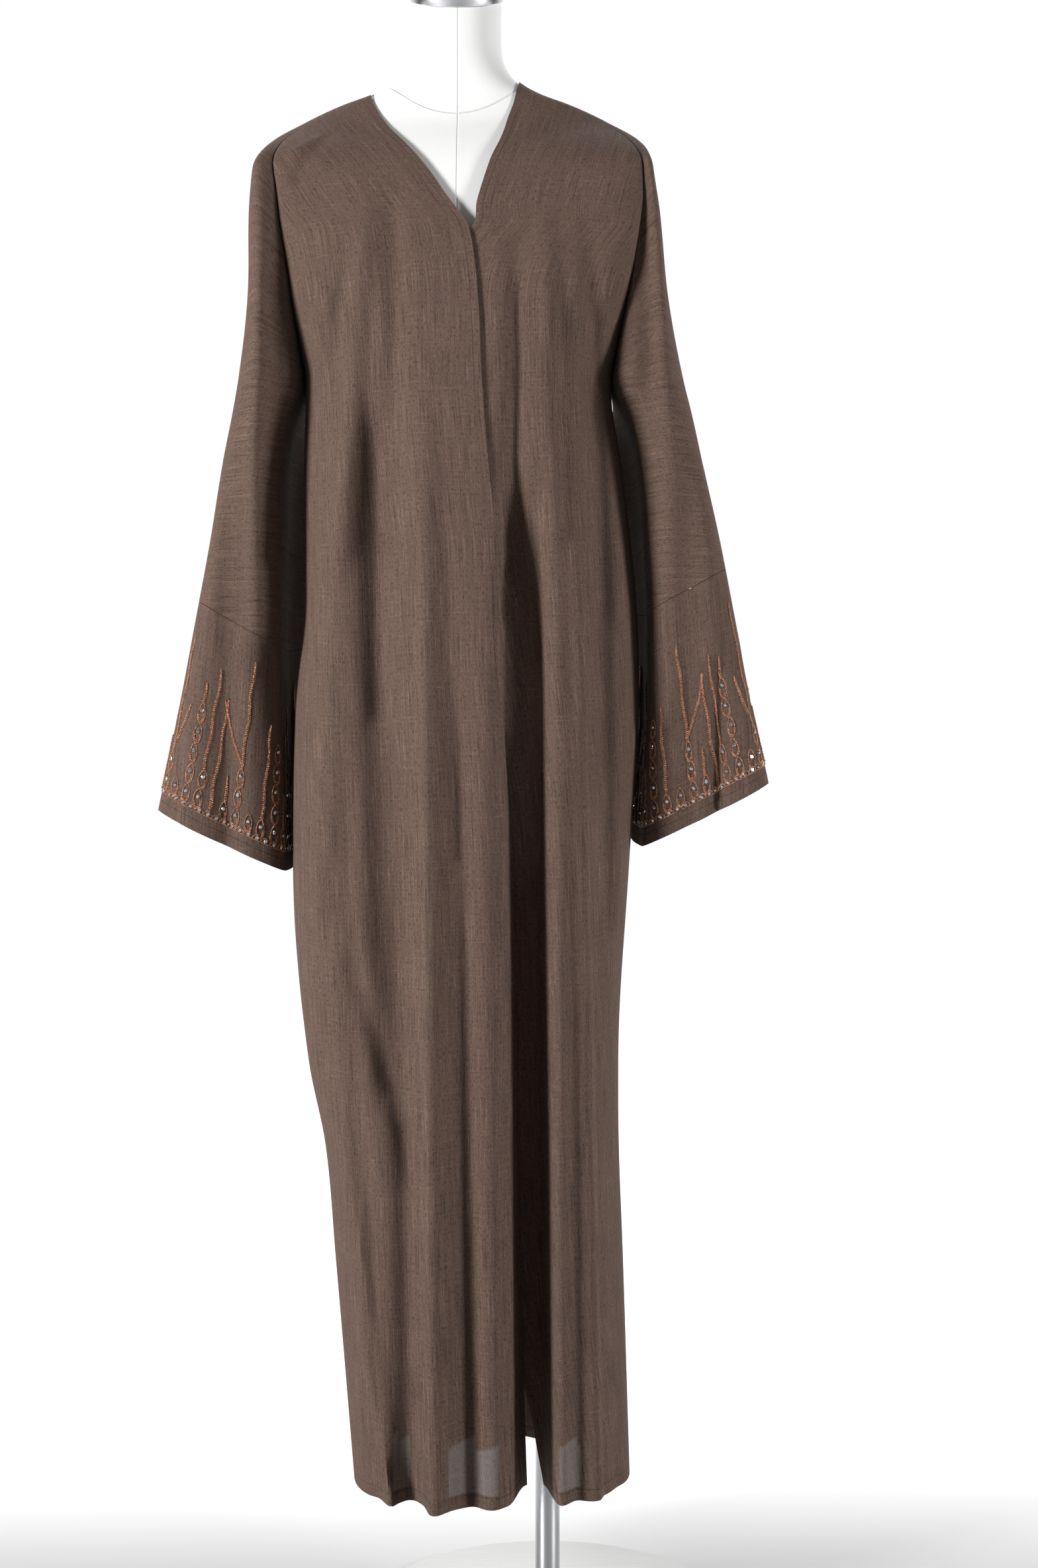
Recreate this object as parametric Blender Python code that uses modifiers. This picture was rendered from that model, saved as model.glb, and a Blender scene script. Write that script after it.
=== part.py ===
# Open-front abaya cloak on a limbless dress form with a steel pole and a round foot plate.
# Metres, +Z up, the front looks along -Y, the origin is under the plate on the pole's axis.
import math
import bpy
import bmesh
from mathutils import Vector
from mathutils.bvhtree import BVHTree

# Stand
plateRadius = 0.180
plateThick = 0.006
poleRadius = 0.0125
collarRadius = 0.026
collarTall = 0.030
socketDeep = 0.080
touchGap = 0.0003

# Dress form, its axis is beside the pole
formAxisX = -0.093
formBottom = 0.806
neckFrontTop = 1.628
neckTilt = 0.51
capRadius = 0.0485
capThick = 0.010
capGap = 0.0004

# Cloth
clothWall = 0.0011
seamGap = 0.0004
restGap = 0.0007
layerStep = 0.0032
lowLayerStep = 0.0046
plackStep = 0.0016
overlapRamp = 0.020
placketLow = 1.12
settlePasses = 5
backNeckDip = 0.012
underarmZ = 1.250
hemZ = 0.137
ringTopZ = 1.522
ringEndZ = 1.462
splitTurn = math.radians(66)
edgeTurn = math.radians(84)

# Grid
bodyColumns = 17
overlapColumns = 4
sleeveColumns = 7
backColumns = 22
skirtRows = 18
sleeveRows = 7
cuffRows = 4
formSides = 40
formRows = 30


def table(names, *rows):
    return {name: [row[i] for row in rows] for i, name in enumerate(names)}


# Dress form, from the lower end to the neck: half width, depth in front and behind
formTable = table(
    ("z", "half", "front", "back"),
    (0.806, 0.143, 0.080, 0.092),
    (0.860, 0.149, 0.086, 0.098),
    (0.930, 0.152, 0.092, 0.104),
    (1.030, 0.138, 0.090, 0.095),
    (1.130, 0.115, 0.084, 0.078),
    (1.220, 0.127, 0.098, 0.082),
    (1.290, 0.143, 0.111, 0.090),
    (1.350, 0.151, 0.107, 0.096),
    (1.400, 0.168, 0.098, 0.098),
    (1.440, 0.182, 0.088, 0.095),
    (1.470, 0.187, 0.077, 0.087),
    (1.490, 0.186, 0.066, 0.077),
    (1.505, 0.177, 0.056, 0.066),
    (1.515, 0.165, 0.050, 0.059),
    (1.528, 0.141, 0.045, 0.053),
    (1.538, 0.118, 0.043, 0.049),
    (1.547, 0.092, 0.0425, 0.047),
    (1.556, 0.073, 0.0425, 0.0455),
    (1.567, 0.059, 0.043, 0.0445),
    (1.585, 0.0485, 0.043, 0.0435),
    (1.628, 0.0455, 0.0425, 0.0435))

# Worn body of the cloak: half widths on the wearer's right and left, depths in front and behind,
# and where the side line lies in depth on the front and on the back. Above the underarm that line
# is the valley between body and sleeve.
bodyTable = table(
    ("z", "right", "left", "front", "back", "sideFront", "sideBack"),
    (1.520, 0.158, 0.162, 0.052, 0.060, -0.038, 0.044),
    (1.500, 0.176, 0.180, 0.066, 0.076, -0.050, 0.056),
    (1.470, 0.182, 0.187, 0.083, 0.092, -0.064, 0.070),
    (1.436, 0.178, 0.188, 0.096, 0.102, -0.070, 0.076),
    (1.400, 0.174, 0.184, 0.107, 0.108, -0.068, 0.072),
    (1.361, 0.168, 0.178, 0.114, 0.111, -0.058, 0.062),
    (1.320, 0.163, 0.170, 0.119, 0.112, -0.040, 0.045),
    (1.285, 0.158, 0.163, 0.122, 0.112, -0.018, 0.020),
    (1.250, 0.154, 0.158, 0.123, 0.112, 0.000, 0.000),
    (1.166, 0.156, 0.169, 0.123, 0.113, 0.000, 0.000),
    (1.030, 0.155, 0.184, 0.121, 0.117, 0.003, 0.003),
    (0.930, 0.165, 0.187, 0.120, 0.119, 0.005, 0.005),
    (0.766, 0.168, 0.177, 0.119, 0.120, 0.008, 0.008),
    (0.562, 0.152, 0.166, 0.118, 0.120, 0.012, 0.012),
    (0.480, 0.1355, 0.1665, 0.1175, 0.120, 0.0135, 0.0135),
    (0.358, 0.1245, 0.171, 0.116, 0.120, 0.016, 0.016),
    (0.137, 0.106, 0.178, 0.113, 0.120, 0.020, 0.020))

# Neck and opening edge of each front, measured from the form's axis towards the wearer's left
rightEdge = table(
    ("z", "place"),
    (1.552, -0.0865), (1.535, -0.0830), (1.506, -0.0660), (1.486, -0.0502), (1.465, -0.0350),
    (1.447, -0.0220), (1.427, -0.0093), (1.409, 0.0033), (1.396, 0.0126), (1.380, 0.0169),
    (1.309, 0.0246), (1.246, 0.0272), (1.156, 0.0342), (1.080, 0.0413), (0.995, 0.0440),
    (0.900, 0.0490), (0.800, 0.0550), (0.700, 0.0590), (0.440, 0.0630), (0.290, 0.0670),
    (0.137, 0.0720))
leftEdge = table(
    ("z", "place"),
    (1.561, 0.0625), (1.531, 0.0570), (1.514, 0.0510), (1.486, 0.0427), (1.461, 0.0345),
    (1.432, 0.0260), (1.416, 0.0220), (1.396, 0.0198), (1.378, 0.0060), (1.345, -0.0100),
    (1.250, -0.0120), (1.000, 0.0040), (0.800, 0.0280), (0.600, 0.0390), (0.400, 0.0500),
    (0.300, 0.0590), (0.220, 0.0740), (0.137, 0.0870))

# Sleeves: inner and outer edge from the form's axis, and depth in front and behind
sleeveNames = ("z", "inner", "outer", "front", "back")
sleeveTables = {
    "right": table(
        sleeveNames,
        (1.500, 0.176, 0.2000, 0.058, 0.064),
        (1.460, 0.180, 0.2060, 0.076, 0.082),
        (1.420, 0.176, 0.2090, 0.084, 0.088),
        (1.338, 0.166, 0.2105, 0.088, 0.090),
        (1.256, 0.154, 0.2205, 0.088, 0.089),
        (1.215, 0.165, 0.2275, 0.087, 0.087),
        (1.174, 0.172, 0.2360, 0.084, 0.085),
        (1.093, 0.175, 0.2495, 0.077, 0.079),
        (1.011, 0.176, 0.2650, 0.070, 0.072),
        (0.930, 0.176, 0.2810, 0.062, 0.064),
        (0.848, 0.175, 0.2985, 0.054, 0.057),
        (0.757, 0.174, 0.3180, 0.047, 0.052)),
    "left": table(
        sleeveNames,
        (1.500, 0.180, 0.1975, 0.058, 0.064),
        (1.460, 0.187, 0.2000, 0.075, 0.082),
        (1.420, 0.187, 0.2062, 0.083, 0.088),
        (1.338, 0.174, 0.2147, 0.087, 0.090),
        (1.256, 0.158, 0.2305, 0.087, 0.089),
        (1.215, 0.174, 0.2405, 0.086, 0.087),
        (1.174, 0.184, 0.2495, 0.083, 0.085),
        (1.093, 0.191, 0.2680, 0.076, 0.079),
        (1.011, 0.195, 0.2840, 0.069, 0.072),
        (0.930, 0.195, 0.2995, 0.061, 0.064),
        (0.848, 0.191, 0.3185, 0.053, 0.057),
        (0.757, 0.188, 0.3350, 0.046, 0.052))}

# How far the back of each sleeve wraps behind the body below the underarm
wrapTable = table(
    ("z", "right", "left"),
    (1.250, 0.000, 0.000),
    (1.215, 0.018, 0.016),
    (1.174, 0.030, 0.026),
    (1.093, 0.037, 0.030),
    (0.930, 0.031, 0.029),
    (0.757, 0.031, 0.036))

# Cuff seam and cuff hem heights at the inner and the outer edge of each sleeve
cuffHeights = {
    "right": {"seamInner": 0.983, "seamOuter": 1.031, "hemInner": 0.757, "hemOuter": 0.820},
    "left": {"seamInner": 1.020, "seamOuter": 1.063, "hemInner": 0.782, "hemOuter": 0.847}}

# Largest folds of the body. Depth is inwards, a minus sign is a ridge.
foldNames = ("face", "topZ", "lowZ", "topPlace", "lowPlace", "topWide", "lowWide", "topDeep", "lowDeep")
bodyFolds = [dict(zip(foldNames, row)) for row in (
    ("front", 1.400, 1.000, 0.062, 0.058, 0.009, 0.013, 0.006, 0.018),
    ("front", 1.130, 0.050, 0.061, 0.081, 0.014, 0.019, 0.030, 0.084),
    ("front", 1.260, 0.060, 0.118, 0.146, 0.018, 0.016, -0.006, -0.014),
    ("front", 1.280, 0.060, -0.032, -0.018, 0.016, 0.013, -0.006, -0.022),
    ("front", 1.000, 0.060, -0.056, -0.041, 0.012, 0.012, 0.002, 0.032),
    ("front", 1.240, 0.900, -0.075, -0.071, 0.014, 0.014, 0.010, 0.008),
    ("front", 1.220, 0.700, -0.112, -0.138, 0.014, 0.016, -0.006, -0.010),
    ("front", 0.560, 0.060, -0.118, -0.052, 0.011, 0.011, -0.004, -0.016),
    ("back", 1.380, 0.060, 0.000, 0.010, 0.022, 0.020, 0.004, 0.030),
    ("back", 1.300, 0.060, -0.050, -0.038, 0.018, 0.017, -0.004, -0.016),
    ("back", 1.260, 0.060, -0.098, -0.072, 0.016, 0.013, 0.008, 0.028),
    ("back", 1.280, 0.060, 0.060, 0.068, 0.018, 0.018, -0.004, -0.016),
    ("back", 1.200, 0.060, 0.108, 0.118, 0.016, 0.017, 0.008, 0.030))]

# Largest folds of the sleeves, placed from the form's axis outwards
sleeveFolds = {
    "right": [dict(zip(foldNames, row)) for row in (
        ("front", 1.480, 0.980, 0.194, 0.196, 0.011, 0.013, -0.006, -0.006),
        ("front", 1.220, 0.700, 0.222, 0.232, 0.012, 0.014, 0.006, 0.010),
        ("back", 1.300, 0.700, 0.196, 0.222, 0.012, 0.016, 0.006, 0.012))],
    "left": [dict(zip(foldNames, row)) for row in (
        ("front", 1.440, 0.900, 0.204, 0.214, 0.009, 0.013, -0.005, -0.007),
        ("front", 1.000, 0.700, 0.262, 0.266, 0.009, 0.011, 0.004, 0.022),
        ("front", 1.200, 0.700, 0.232, 0.236, 0.012, 0.014, 0.004, 0.009),
        ("back", 1.300, 0.700, 0.206, 0.240, 0.012, 0.016, 0.006, 0.012))]}


# A column of a table at one height, on a smooth curve through its rows
def along(rows, column, z):
    heights, values = rows["z"], rows[column]
    if heights[0] > heights[-1]:
        heights, values = heights[::-1], values[::-1]
    if z <= heights[0]:
        return values[0]
    if z >= heights[-1]:
        return values[-1]
    i = next(k for k in range(len(heights) - 1) if heights[k + 1] >= z)
    span = heights[i + 1] - heights[i]
    part = (z - heights[i]) / span
    rise = (values[i + 1] - values[i]) / span
    before = (values[i] - values[i - 1]) / (heights[i] - heights[i - 1]) if i else rise
    last = i + 2 >= len(heights)
    after = rise if last else (values[i + 2] - values[i + 1]) / (heights[i + 2] - heights[i + 1])
    startSlope = 0.5 * (before + rise) if before * rise > 0 else 0.0
    endSlope = 0.5 * (after + rise) if after * rise > 0 else 0.0
    square, cube = part * part, part ** 3
    return ((2 * cube - 3 * square + 1) * values[i] + (cube - 2 * square + part) * span * startSlope
            + (3 * square - 2 * cube) * values[i + 1] + (cube - square) * span * endSlope)


def mix(a, b, part):
    return a + (b - a) * part


def smooth(low, high, value):
    part = min(1.0, max(0.0, (value - low) / (high - low)))
    return part * part * (3 - 2 * part)


# One point of the dress form's ring, turn runs from -90 to 90 degrees across the front or the back
def formPoint(face, turn, z, grow=0.0):
    sign = -1 if face == "front" else 1
    half = along(formTable, "half", z) + grow
    deep = along(formTable, face, z) + grow
    square = mix(0.86, 1.0, smooth(1.44, 1.53, z))
    across = math.copysign(abs(math.sin(turn)) ** square, turn)
    return Vector((half * across, sign * deep * abs(math.cos(turn)) ** square, z))


# How far the folds of one list push a point inwards
def foldDepth(folds, face, place, z):
    total = 0.0
    for fold in folds:
        if fold["face"] != face:
            continue
        part = (fold["topZ"] - z) / (fold["topZ"] - fold["lowZ"])
        if not 0 < part < 1:
            continue
        fade = smooth(0, 0.18, part) * smooth(1.0, 0.97, part)
        off = (place - mix(fold["topPlace"], fold["lowPlace"], part)) / mix(fold["topWide"], fold["lowWide"], part)
        total += mix(fold["topDeep"], fold["lowDeep"], part) * fade * math.exp(-off * off)
    return total


# One point of the worn body with its folds
def bodyPoint(face, turn, z):
    sign = -1 if face == "front" else 1
    side = "right" if turn < 0 else "left"
    half = along(bodyTable, side, z)
    deep = along(bodyTable, face, z)
    line = along(bodyTable, "side" + face.capitalize(), z)
    place = math.copysign(half * abs(math.sin(turn)) ** 0.92, turn)
    flat = abs(math.cos(turn)) ** 0.78
    fade = min(1.0, 1.9 * abs(math.cos(turn)))
    push = foldDepth(bodyFolds, face, place, z) * fade
    return Vector((place, line + (sign * deep - line) * flat - sign * push, z))


# One point of a sleeve half, sweep runs from 0 at the inner line to 180 degrees at the overarm line
def sleevePoint(side, face, sweep, z):
    sign = -1 if face == "front" else 1
    out = -1 if side == "right" else 1
    rows = sleeveTables[side]
    if z > underarmZ:
        inner = along(bodyTable, side, z)
        line = along(bodyTable, "side" + face.capitalize(), z)
    else:
        inner, line = along(rows, "inner", z), 0.0
    over = 0.5 * (1 - math.cos(sweep))
    place = mix(inner, along(rows, "outer", z), over)
    if face == "back":
        place -= along(wrapTable, side, z) * 0.844 * math.sin(sweep) ** 2 * (1 + math.cos(sweep))
    base = mix(line, 0.004, over)
    swell = abs(math.sin(sweep)) ** 0.72
    push = foldDepth(sleeveFolds[side], face, place, z) * min(1.0, 1.6 * abs(math.sin(sweep)))
    return Vector((out * place, base + (sign * along(rows, face, z) - base) * swell - sign * push, z))


# Where an opening edge lies, as a turn of the form's ring or of the worn body
def ringTurn(place, half):
    return math.copysign(math.asin(min(math.sin(edgeTurn), abs(place) / half)), place)


def wornTurn(place, z):
    half = along(bodyTable, "left" if place > 0 else "right", z)
    return math.copysign(math.asin(min(1.0, abs(place) / half) ** (1 / 0.92)), place)


# The strip of a front that lies over or under the other front. Both fronts have the same columns in
# it, so their layers run side by side.
def overlapStrip(side, z):
    rightPlace, leftPlace = along(rightEdge, "place", z), along(leftEdge, "place", z)
    least = mix(0.003, 0.012, smooth(1.396, 1.420, z))
    wide = max(rightPlace - leftPlace, least)
    return (rightPlace, rightPlace - wide) if side == "right" else (leftPlace, leftPlace + wide)


# Body half of a front: column 0 is its opening edge, the last column is its side line
def frontPoint(side, column, z):
    out = -1 if side == "right" else 1
    edge, inside = overlapStrip(side, z)
    strip = min(1.0, column / overlapColumns)
    rest = max(0.0, (column - overlapColumns) / (bodyColumns - overlapColumns))
    place = mix(edge, inside, strip)
    worn = bodyPoint("front", mix(wornTurn(place, z), out * math.pi / 2, rest), z)
    if z < ringEndZ:
        return worn
    lifted = z - restGap - clothWall * 0.7
    split = out * frontSplit(side, z)
    ring = formPoint("front", mix(ringTurn(place, along(formTable, "half", lifted)), split, rest),
                     lifted, restGap + clothWall)
    ring.z = z
    return ring.lerp(worn, smooth(ringTopZ, ringEndZ, z))


# Above the valley the line between body and sleeve runs up the shoulder's rings
def frontSplit(side, z):
    half = along(formTable, "half", z - restGap - clothWall * 0.7)
    inner = abs(ringTurn(overlapStrip(side, z)[1], half))
    return max(splitTurn, mix(inner, math.pi / 2, 0.6))


def backPoint(part, z):
    turn = mix(-math.pi / 2, math.pi / 2, part)
    dip = backNeckDip * math.cos(turn) ** 2 * smooth(1.49, 1.561, z)
    worn = bodyPoint("back", turn, z)
    worn.z -= dip
    if z < ringEndZ:
        return worn
    lifted = z - dip - restGap - clothWall * 0.7
    split = max(splitTurn, neckSplit(z))
    ring = formPoint("back", mix(-split, split, part), lifted, restGap + clothWall)
    ring.z = z - dip
    return ring.lerp(worn, smooth(ringTopZ, ringEndZ, z))


# Towards the neck the shoulder's rings are so short that the split line follows the ridge
def neckSplit(z):
    return mix(splitTurn, math.radians(87), smooth(1.520, 1.552, z))


def shoulderPoint(side, face, part, z):
    worn = sleevePoint(side, face, math.pi * part, z)
    if z < ringEndZ:
        return worn
    out = -1 if side == "right" else 1
    lifted = z - restGap - clothWall * 0.7
    split = frontSplit(side, z) if face == "front" else max(splitTurn, neckSplit(z))
    ring = formPoint(face, out * mix(split, math.pi / 2, part), lifted, restGap + clothWall)
    ring.z = z
    return ring.lerp(worn, smooth(ringTopZ, ringEndZ, z))


# Sleeve below the underarm and the cuff: part runs down from the underarm to the cuff's hem
def hangingPoint(side, face, across, down, onCuff):
    sweep = math.pi * across
    over = 0.5 * (1 - math.cos(sweep))
    heights = cuffHeights[side]
    seam = mix(heights["seamInner"], heights["seamOuter"], over)
    hem = mix(heights["hemInner"], heights["hemOuter"], over)
    z = mix(seam, hem, down) if onCuff else mix(underarmZ, seam, down)
    return sleevePoint(side, face, sweep, z)


# A surface of named pieces that share their seam points
class Cloth:
    def __init__(self):
        self.points = []
        self.index = {}
        self.faces = {}

    def point(self, place):
        key = tuple(round(value, 6) for value in place)
        if key not in self.index:
            self.index[key] = len(self.points)
            self.points.append(Vector(place))
        return self.index[key]

    def patch(self, piece, face, rows, columns, where):
        grid = [[self.point(where(i, j)) for j in range(columns + 1)] for i in range(rows + 1)]
        quads = []
        facing = 0.0
        for i in range(rows):
            for j in range(columns):
                quad = [grid[i][j], grid[i][j + 1], grid[i + 1][j + 1], grid[i + 1][j]]
                quad = [k for n, k in enumerate(quad) if k != quad[n - 1]]
                if len(set(quad)) < 3:
                    continue
                quads.append(quad)
                facing += self.faceNormal(quad).y
        if (facing < 0) != (face == "front"):
            quads = [quad[::-1] for quad in quads]
        self.faces.setdefault(piece, []).extend(quads)

    def faceNormal(self, quad):
        corners = [self.points[k] for k in quad]
        return (corners[2] - corners[0]).cross(corners[-1] - corners[1])

    def normals(self):
        total = [Vector() for point in self.points]
        for quads in self.faces.values():
            for quad in quads:
                normal = self.faceNormal(quad).normalized()
                for k in quad:
                    total[k] += normal
        return [normal.normalized() for normal in total]


# How far one place of the cloth has to move to lie clear of the form
def pushOff(form, place, distance):
    near, normal, face, gap = form.find_nearest(place)
    least = distance + restGap * smooth(1.44, 1.38, place.z)
    short = least - (place - near).dot(normal)
    return normal * short if short > 0 and gap < 0.05 else Vector()


# Cloth that comes too near the form is moved off it, also in the middle of its faces and edges
def settle(cloth, form, distance):
    for i, point in enumerate(cloth.points):
        cloth.points[i] = point + pushOff(form, point, distance)
    for turn in range(settlePasses):
        pushes = {}
        for quads in cloth.faces.values():
            for quad in quads:
                corners = [cloth.points[k] for k in quad]
                tests = [sum(corners, Vector()) / len(quad)]
                tests += [(corner + corners[n - 1]) / 2 for n, corner in enumerate(corners)]
                push = max((pushOff(form, test, distance - restGap / 4) for test in tests), key=lambda v: v.length)
                for k in quad:
                    if push.length > pushes.get(k, Vector()).length:
                        pushes[k] = push
        for k, push in pushes.items():
            cloth.points[k] += push


# A quad as two triangles, so that the outer and the inner wall bend along the same diagonal
def halves(quad, points):
    if len(quad) == 3:
        return [quad]
    a, b, c, d = quad
    if (points[a] - points[c]).length < (points[b] - points[d]).length:
        return [[a, b, c], [a, c, d]]
    return [[a, b, d], [b, c, d]]


# Wall of one piece, drawn back by half a seam gap where it meets another piece
def wallMesh(cloth, piece, normals):
    quads = cloth.faces[piece]
    mine = sorted({k for quad in quads for k in quad})
    others = {k for name, faces in cloth.faces.items() if name != piece for quad in faces for k in quad}
    neighbours = {k: set() for k in mine}
    for quad in quads:
        for k in quad:
            neighbours[k].update(quad)
    order = {k: n for n, k in enumerate(mine)}
    outer, inner = [], []
    for k in mine:
        place = cloth.points[k].copy()
        if k in others:
            inside = [cloth.points[n] for n in neighbours[k] if n not in others]
            if inside:
                pull = sum(inside, Vector()) / len(inside) - place
                pull -= normals[k] * pull.dot(normals[k])
                place += pull.normalized() * seamGap * 0.5
        outer.append(place)
        inner.append(place - normals[k] * clothWall)
    count = len(mine)
    faces = [[order[k] for k in half] for quad in quads for half in halves(quad, cloth.points)]
    edges = {}
    for face in faces:
        for n, a in enumerate(face):
            edges[(face[n - 1], a)] = True
    rim = [[b, a, a + count, b + count] for a, b in edges if (b, a) not in edges]
    back = [[k + count for k in reversed(face)] for face in faces]
    mesh = bpy.data.meshes.new(piece)
    mesh.from_pydata(outer + inner, [], faces + back + rim)
    return mesh


def finish(name, colour, roughness, metallic):
    material = bpy.data.materials.new(name)
    material.use_nodes = True
    shader = material.node_tree.nodes["Principled BSDF"]
    shader.inputs["Base Color"].default_value = (*colour, 1)
    shader.inputs["Roughness"].default_value = roughness
    shader.inputs["Metallic"].default_value = metallic
    return material


def add(name, mesh, material, parent=None):
    piece = bpy.data.objects.new(name, mesh)
    piece.data.materials.append(material)
    collection.objects.link(piece)
    piece.parent = parent
    mesh.shade_smooth()
    mesh.set_sharp_from_angle(angle=math.radians(40))
    return piece


def turned(name, profile, material, turns=48):
    edges = [(i, i + 1) for i in range(len(profile) - 1)]
    if profile[0] == profile[-1]:
        profile = profile[:-1]
        edges[-1] = (len(profile) - 1, 0)
    mesh = bpy.data.meshes.new(name)
    mesh.from_pydata([(r, 0, z) for r, z in profile], edges, [])
    piece = bpy.data.objects.new(name, mesh)
    piece.data.materials.append(material)
    collection.objects.link(piece)
    screw = piece.modifiers.new("Turn", "SCREW")
    screw.steps = turns
    screw.render_steps = turns
    screw.use_merge_vertices = True
    screw.merge_threshold = 0.00001
    return piece


# Dress form: rings from the lower end to the tilted neck end
def buildForm(material):
    mesh = bmesh.new()
    heights = [mix(formBottom, 1.44, i / 15) for i in range(15)]
    heights += [mix(1.44, neckFrontTop, i / (formRows - 15)) for i in range(formRows - 14)]
    rings = []
    for z in heights:
        ring = []
        lean = smooth(1.59, neckFrontTop, z) * neckTilt
        for k in range(formSides):
            angle = 2 * math.pi * k / formSides
            face = "front" if math.cos(angle) > 0 else "back"
            turn = math.asin(max(-1.0, min(1.0, math.sin(angle))))
            place = formPoint(face, turn, z)
            place.z += (place.y + 0.0425) * lean
            ring.append(mesh.verts.new(place))
        rings.append(ring)
    for low, high in zip(rings, rings[1:]):
        for k in range(formSides):
            n = (k + 1) % formSides
            mesh.faces.new((low[k], low[n], high[n], high[k]))
    mesh.faces.new(rings[0][::-1])
    mesh.faces.new(rings[-1])
    bmesh.ops.recalc_face_normals(mesh, faces=mesh.faces)
    data = bpy.data.meshes.new("dress_form_torso")
    mesh.to_mesh(data)
    mesh.free()
    return add("dress_form_torso", data, material, formAxis)


def cutSocket(torso):
    bpy.ops.mesh.primitive_cylinder_add(vertices=32, radius=poleRadius + touchGap, depth=socketDeep * 2,
                                        location=(0, 0, formBottom))
    cutter = bpy.context.object
    cutter.name = "socket_cutter"
    cutter.hide_render = True
    cutter.display_type = "WIRE"
    for home in list(cutter.users_collection):
        home.objects.unlink(cutter)
    cutters.objects.link(cutter)
    cut = torso.modifiers.new("Socket", "BOOLEAN")
    cut.operation = "DIFFERENCE"
    cut.object = cutter


def buildCap(material):
    profile = [(0, 0), (capRadius - 0.002, 0), (capRadius, 0.002), (capRadius, capThick - 0.004)]
    profile += [(capRadius * math.cos(math.radians(a)), capThick - 0.004 + 0.008 * math.sin(math.radians(a)))
                for a in (30, 60)]
    profile += [(0, capThick + 0.004)]
    piece = turned("neck_cap", profile[::-1], material, 40)
    tilt = math.atan(neckTilt)
    piece.parent = formAxis
    centre = neckFrontTop + 0.0425 * neckTilt
    piece.location = (0, -capGap * math.sin(tilt), centre + capGap * math.cos(tilt))
    piece.rotation_euler = (tilt, 0, 0)
    return piece


def buildStand(steel, stone):
    edge = 0.0015
    plate = [(0, plateThick), (plateRadius - edge, plateThick), (plateRadius, plateThick - edge),
             (plateRadius, edge), (plateRadius - edge, 0), (0, 0)]
    turned("foot_plate", plate, stone, 64)
    bottom = plateThick + touchGap
    top = bottom + collarTall
    bore = poleRadius + touchGap
    collar = [(bore, top), (collarRadius * 0.62, top), (collarRadius * 0.72, bottom + 0.012),
              (collarRadius, bottom + 0.004), (collarRadius, bottom), (bore, bottom), (bore, top)]
    turned("pole_collar", collar, steel, 40)
    head = formBottom + socketDeep - touchGap
    pole = [(0, head), (poleRadius - 0.001, head), (poleRadius, head - 0.001),
            (poleRadius, bottom), (0, bottom)]
    turned("pole", pole, steel, 32)


# Layers that lie under the right front follow it at a fixed depth
def layered(where, depth):
    step = 0.002
    middle = where(0, 0)
    normal = (where(step * 10, 0) - where(-step * 10, 0)).cross(where(0, step) - where(0, -step)).normalized()
    if normal.y > 0:
        normal.negate()
    return middle - normal * depth


def leftFrontPoint(column, z):
    place = frontPoint("left", column, z)
    cover = along(rightEdge, "place", z) if z < 1.398 else -1.0
    hidden = 1 - smooth(cover + 0.004, cover + 0.004 + overlapRamp, place.x)
    hidden *= 1 - smooth(1.385, 1.398, z)
    if hidden <= 0:
        return place
    deep = mix(lowLayerStep, layerStep, smooth(0.70, 1.00, z))
    return layered(lambda a, b: frontPoint("left", max(0.0, column + a), z + b), deep * hidden)


def placketPoint(column, z):
    return layered(lambda a, b: frontPoint("right", max(0.0, column + a), z + b), plackStep)


def levels():
    upper = [1.561, 1.557, 1.552, 1.546, 1.540, 1.532, 1.523, 1.513, 1.503, 1.490, 1.474, 1.455, 1.434]
    upper += [1.412, 1.396, 1.380, 1.350, 1.318, 1.285, underarmZ]
    lower = [mix(underarmZ, hemZ, (i + 1) / skirtRows) for i in range(skirtRows)]
    return upper, lower


def buildCloak(form):
    cloth = Cloth()
    upper, lower = levels()
    for side, firstRow, piece in (("right", 2, "front_right"), ("left", 0, "front_left")):
        heights = upper[firstRow:] + lower
        top = upper[firstRow:]
        point = (lambda column, z: frontPoint("right", column, z)) if side == "right" else leftFrontPoint
        cloth.patch(piece, "front", len(heights) - 1, bodyColumns,
                    lambda i, j: point(j, heights[i]))
        cloth.patch(piece, "front", len(top) - 1, sleeveColumns,
                    lambda i, j: shoulderPoint(side, "front", j / sleeveColumns, top[i]))
        cloth.patch(piece, "front", sleeveRows, sleeveColumns,
                    lambda i, j: hangingPoint(side, "front", j / sleeveColumns, i / sleeveRows, False))
    heights = upper + lower
    cloth.patch("back", "back", len(heights) - 1, backColumns,
                lambda i, j: backPoint(j / backColumns, heights[i]))
    for side in ("right", "left"):
        cloth.patch("back", "back", len(upper) - 1, sleeveColumns,
                    lambda i, j: shoulderPoint(side, "back", j / sleeveColumns, upper[i]))
        cloth.patch("back", "back", sleeveRows, sleeveColumns,
                    lambda i, j: hangingPoint(side, "back", j / sleeveColumns, i / sleeveRows, False))
        for face in ("front", "back"):
            cloth.patch("cuff_" + side, face, cuffRows, sleeveColumns,
                        lambda i, j: hangingPoint(side, face, j / sleeveColumns, i / cuffRows, True))
    strip = [z for z in heights if placketLow < z < 1.39]
    cloth.patch("under_placket", "front", len(strip) - 1, overlapColumns - 1,
                lambda i, j: placketPoint(j, strip[i]))
    settle(cloth, form, clothWall + restGap)
    return cloth


for old in list(bpy.data.objects):
    bpy.data.objects.remove(old)
collection = bpy.data.collections.new("abaya_on_dress_form")
cutters = bpy.data.collections.new("cutters")
bpy.context.scene.collection.children.link(collection)
bpy.context.scene.collection.children.link(cutters)

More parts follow.
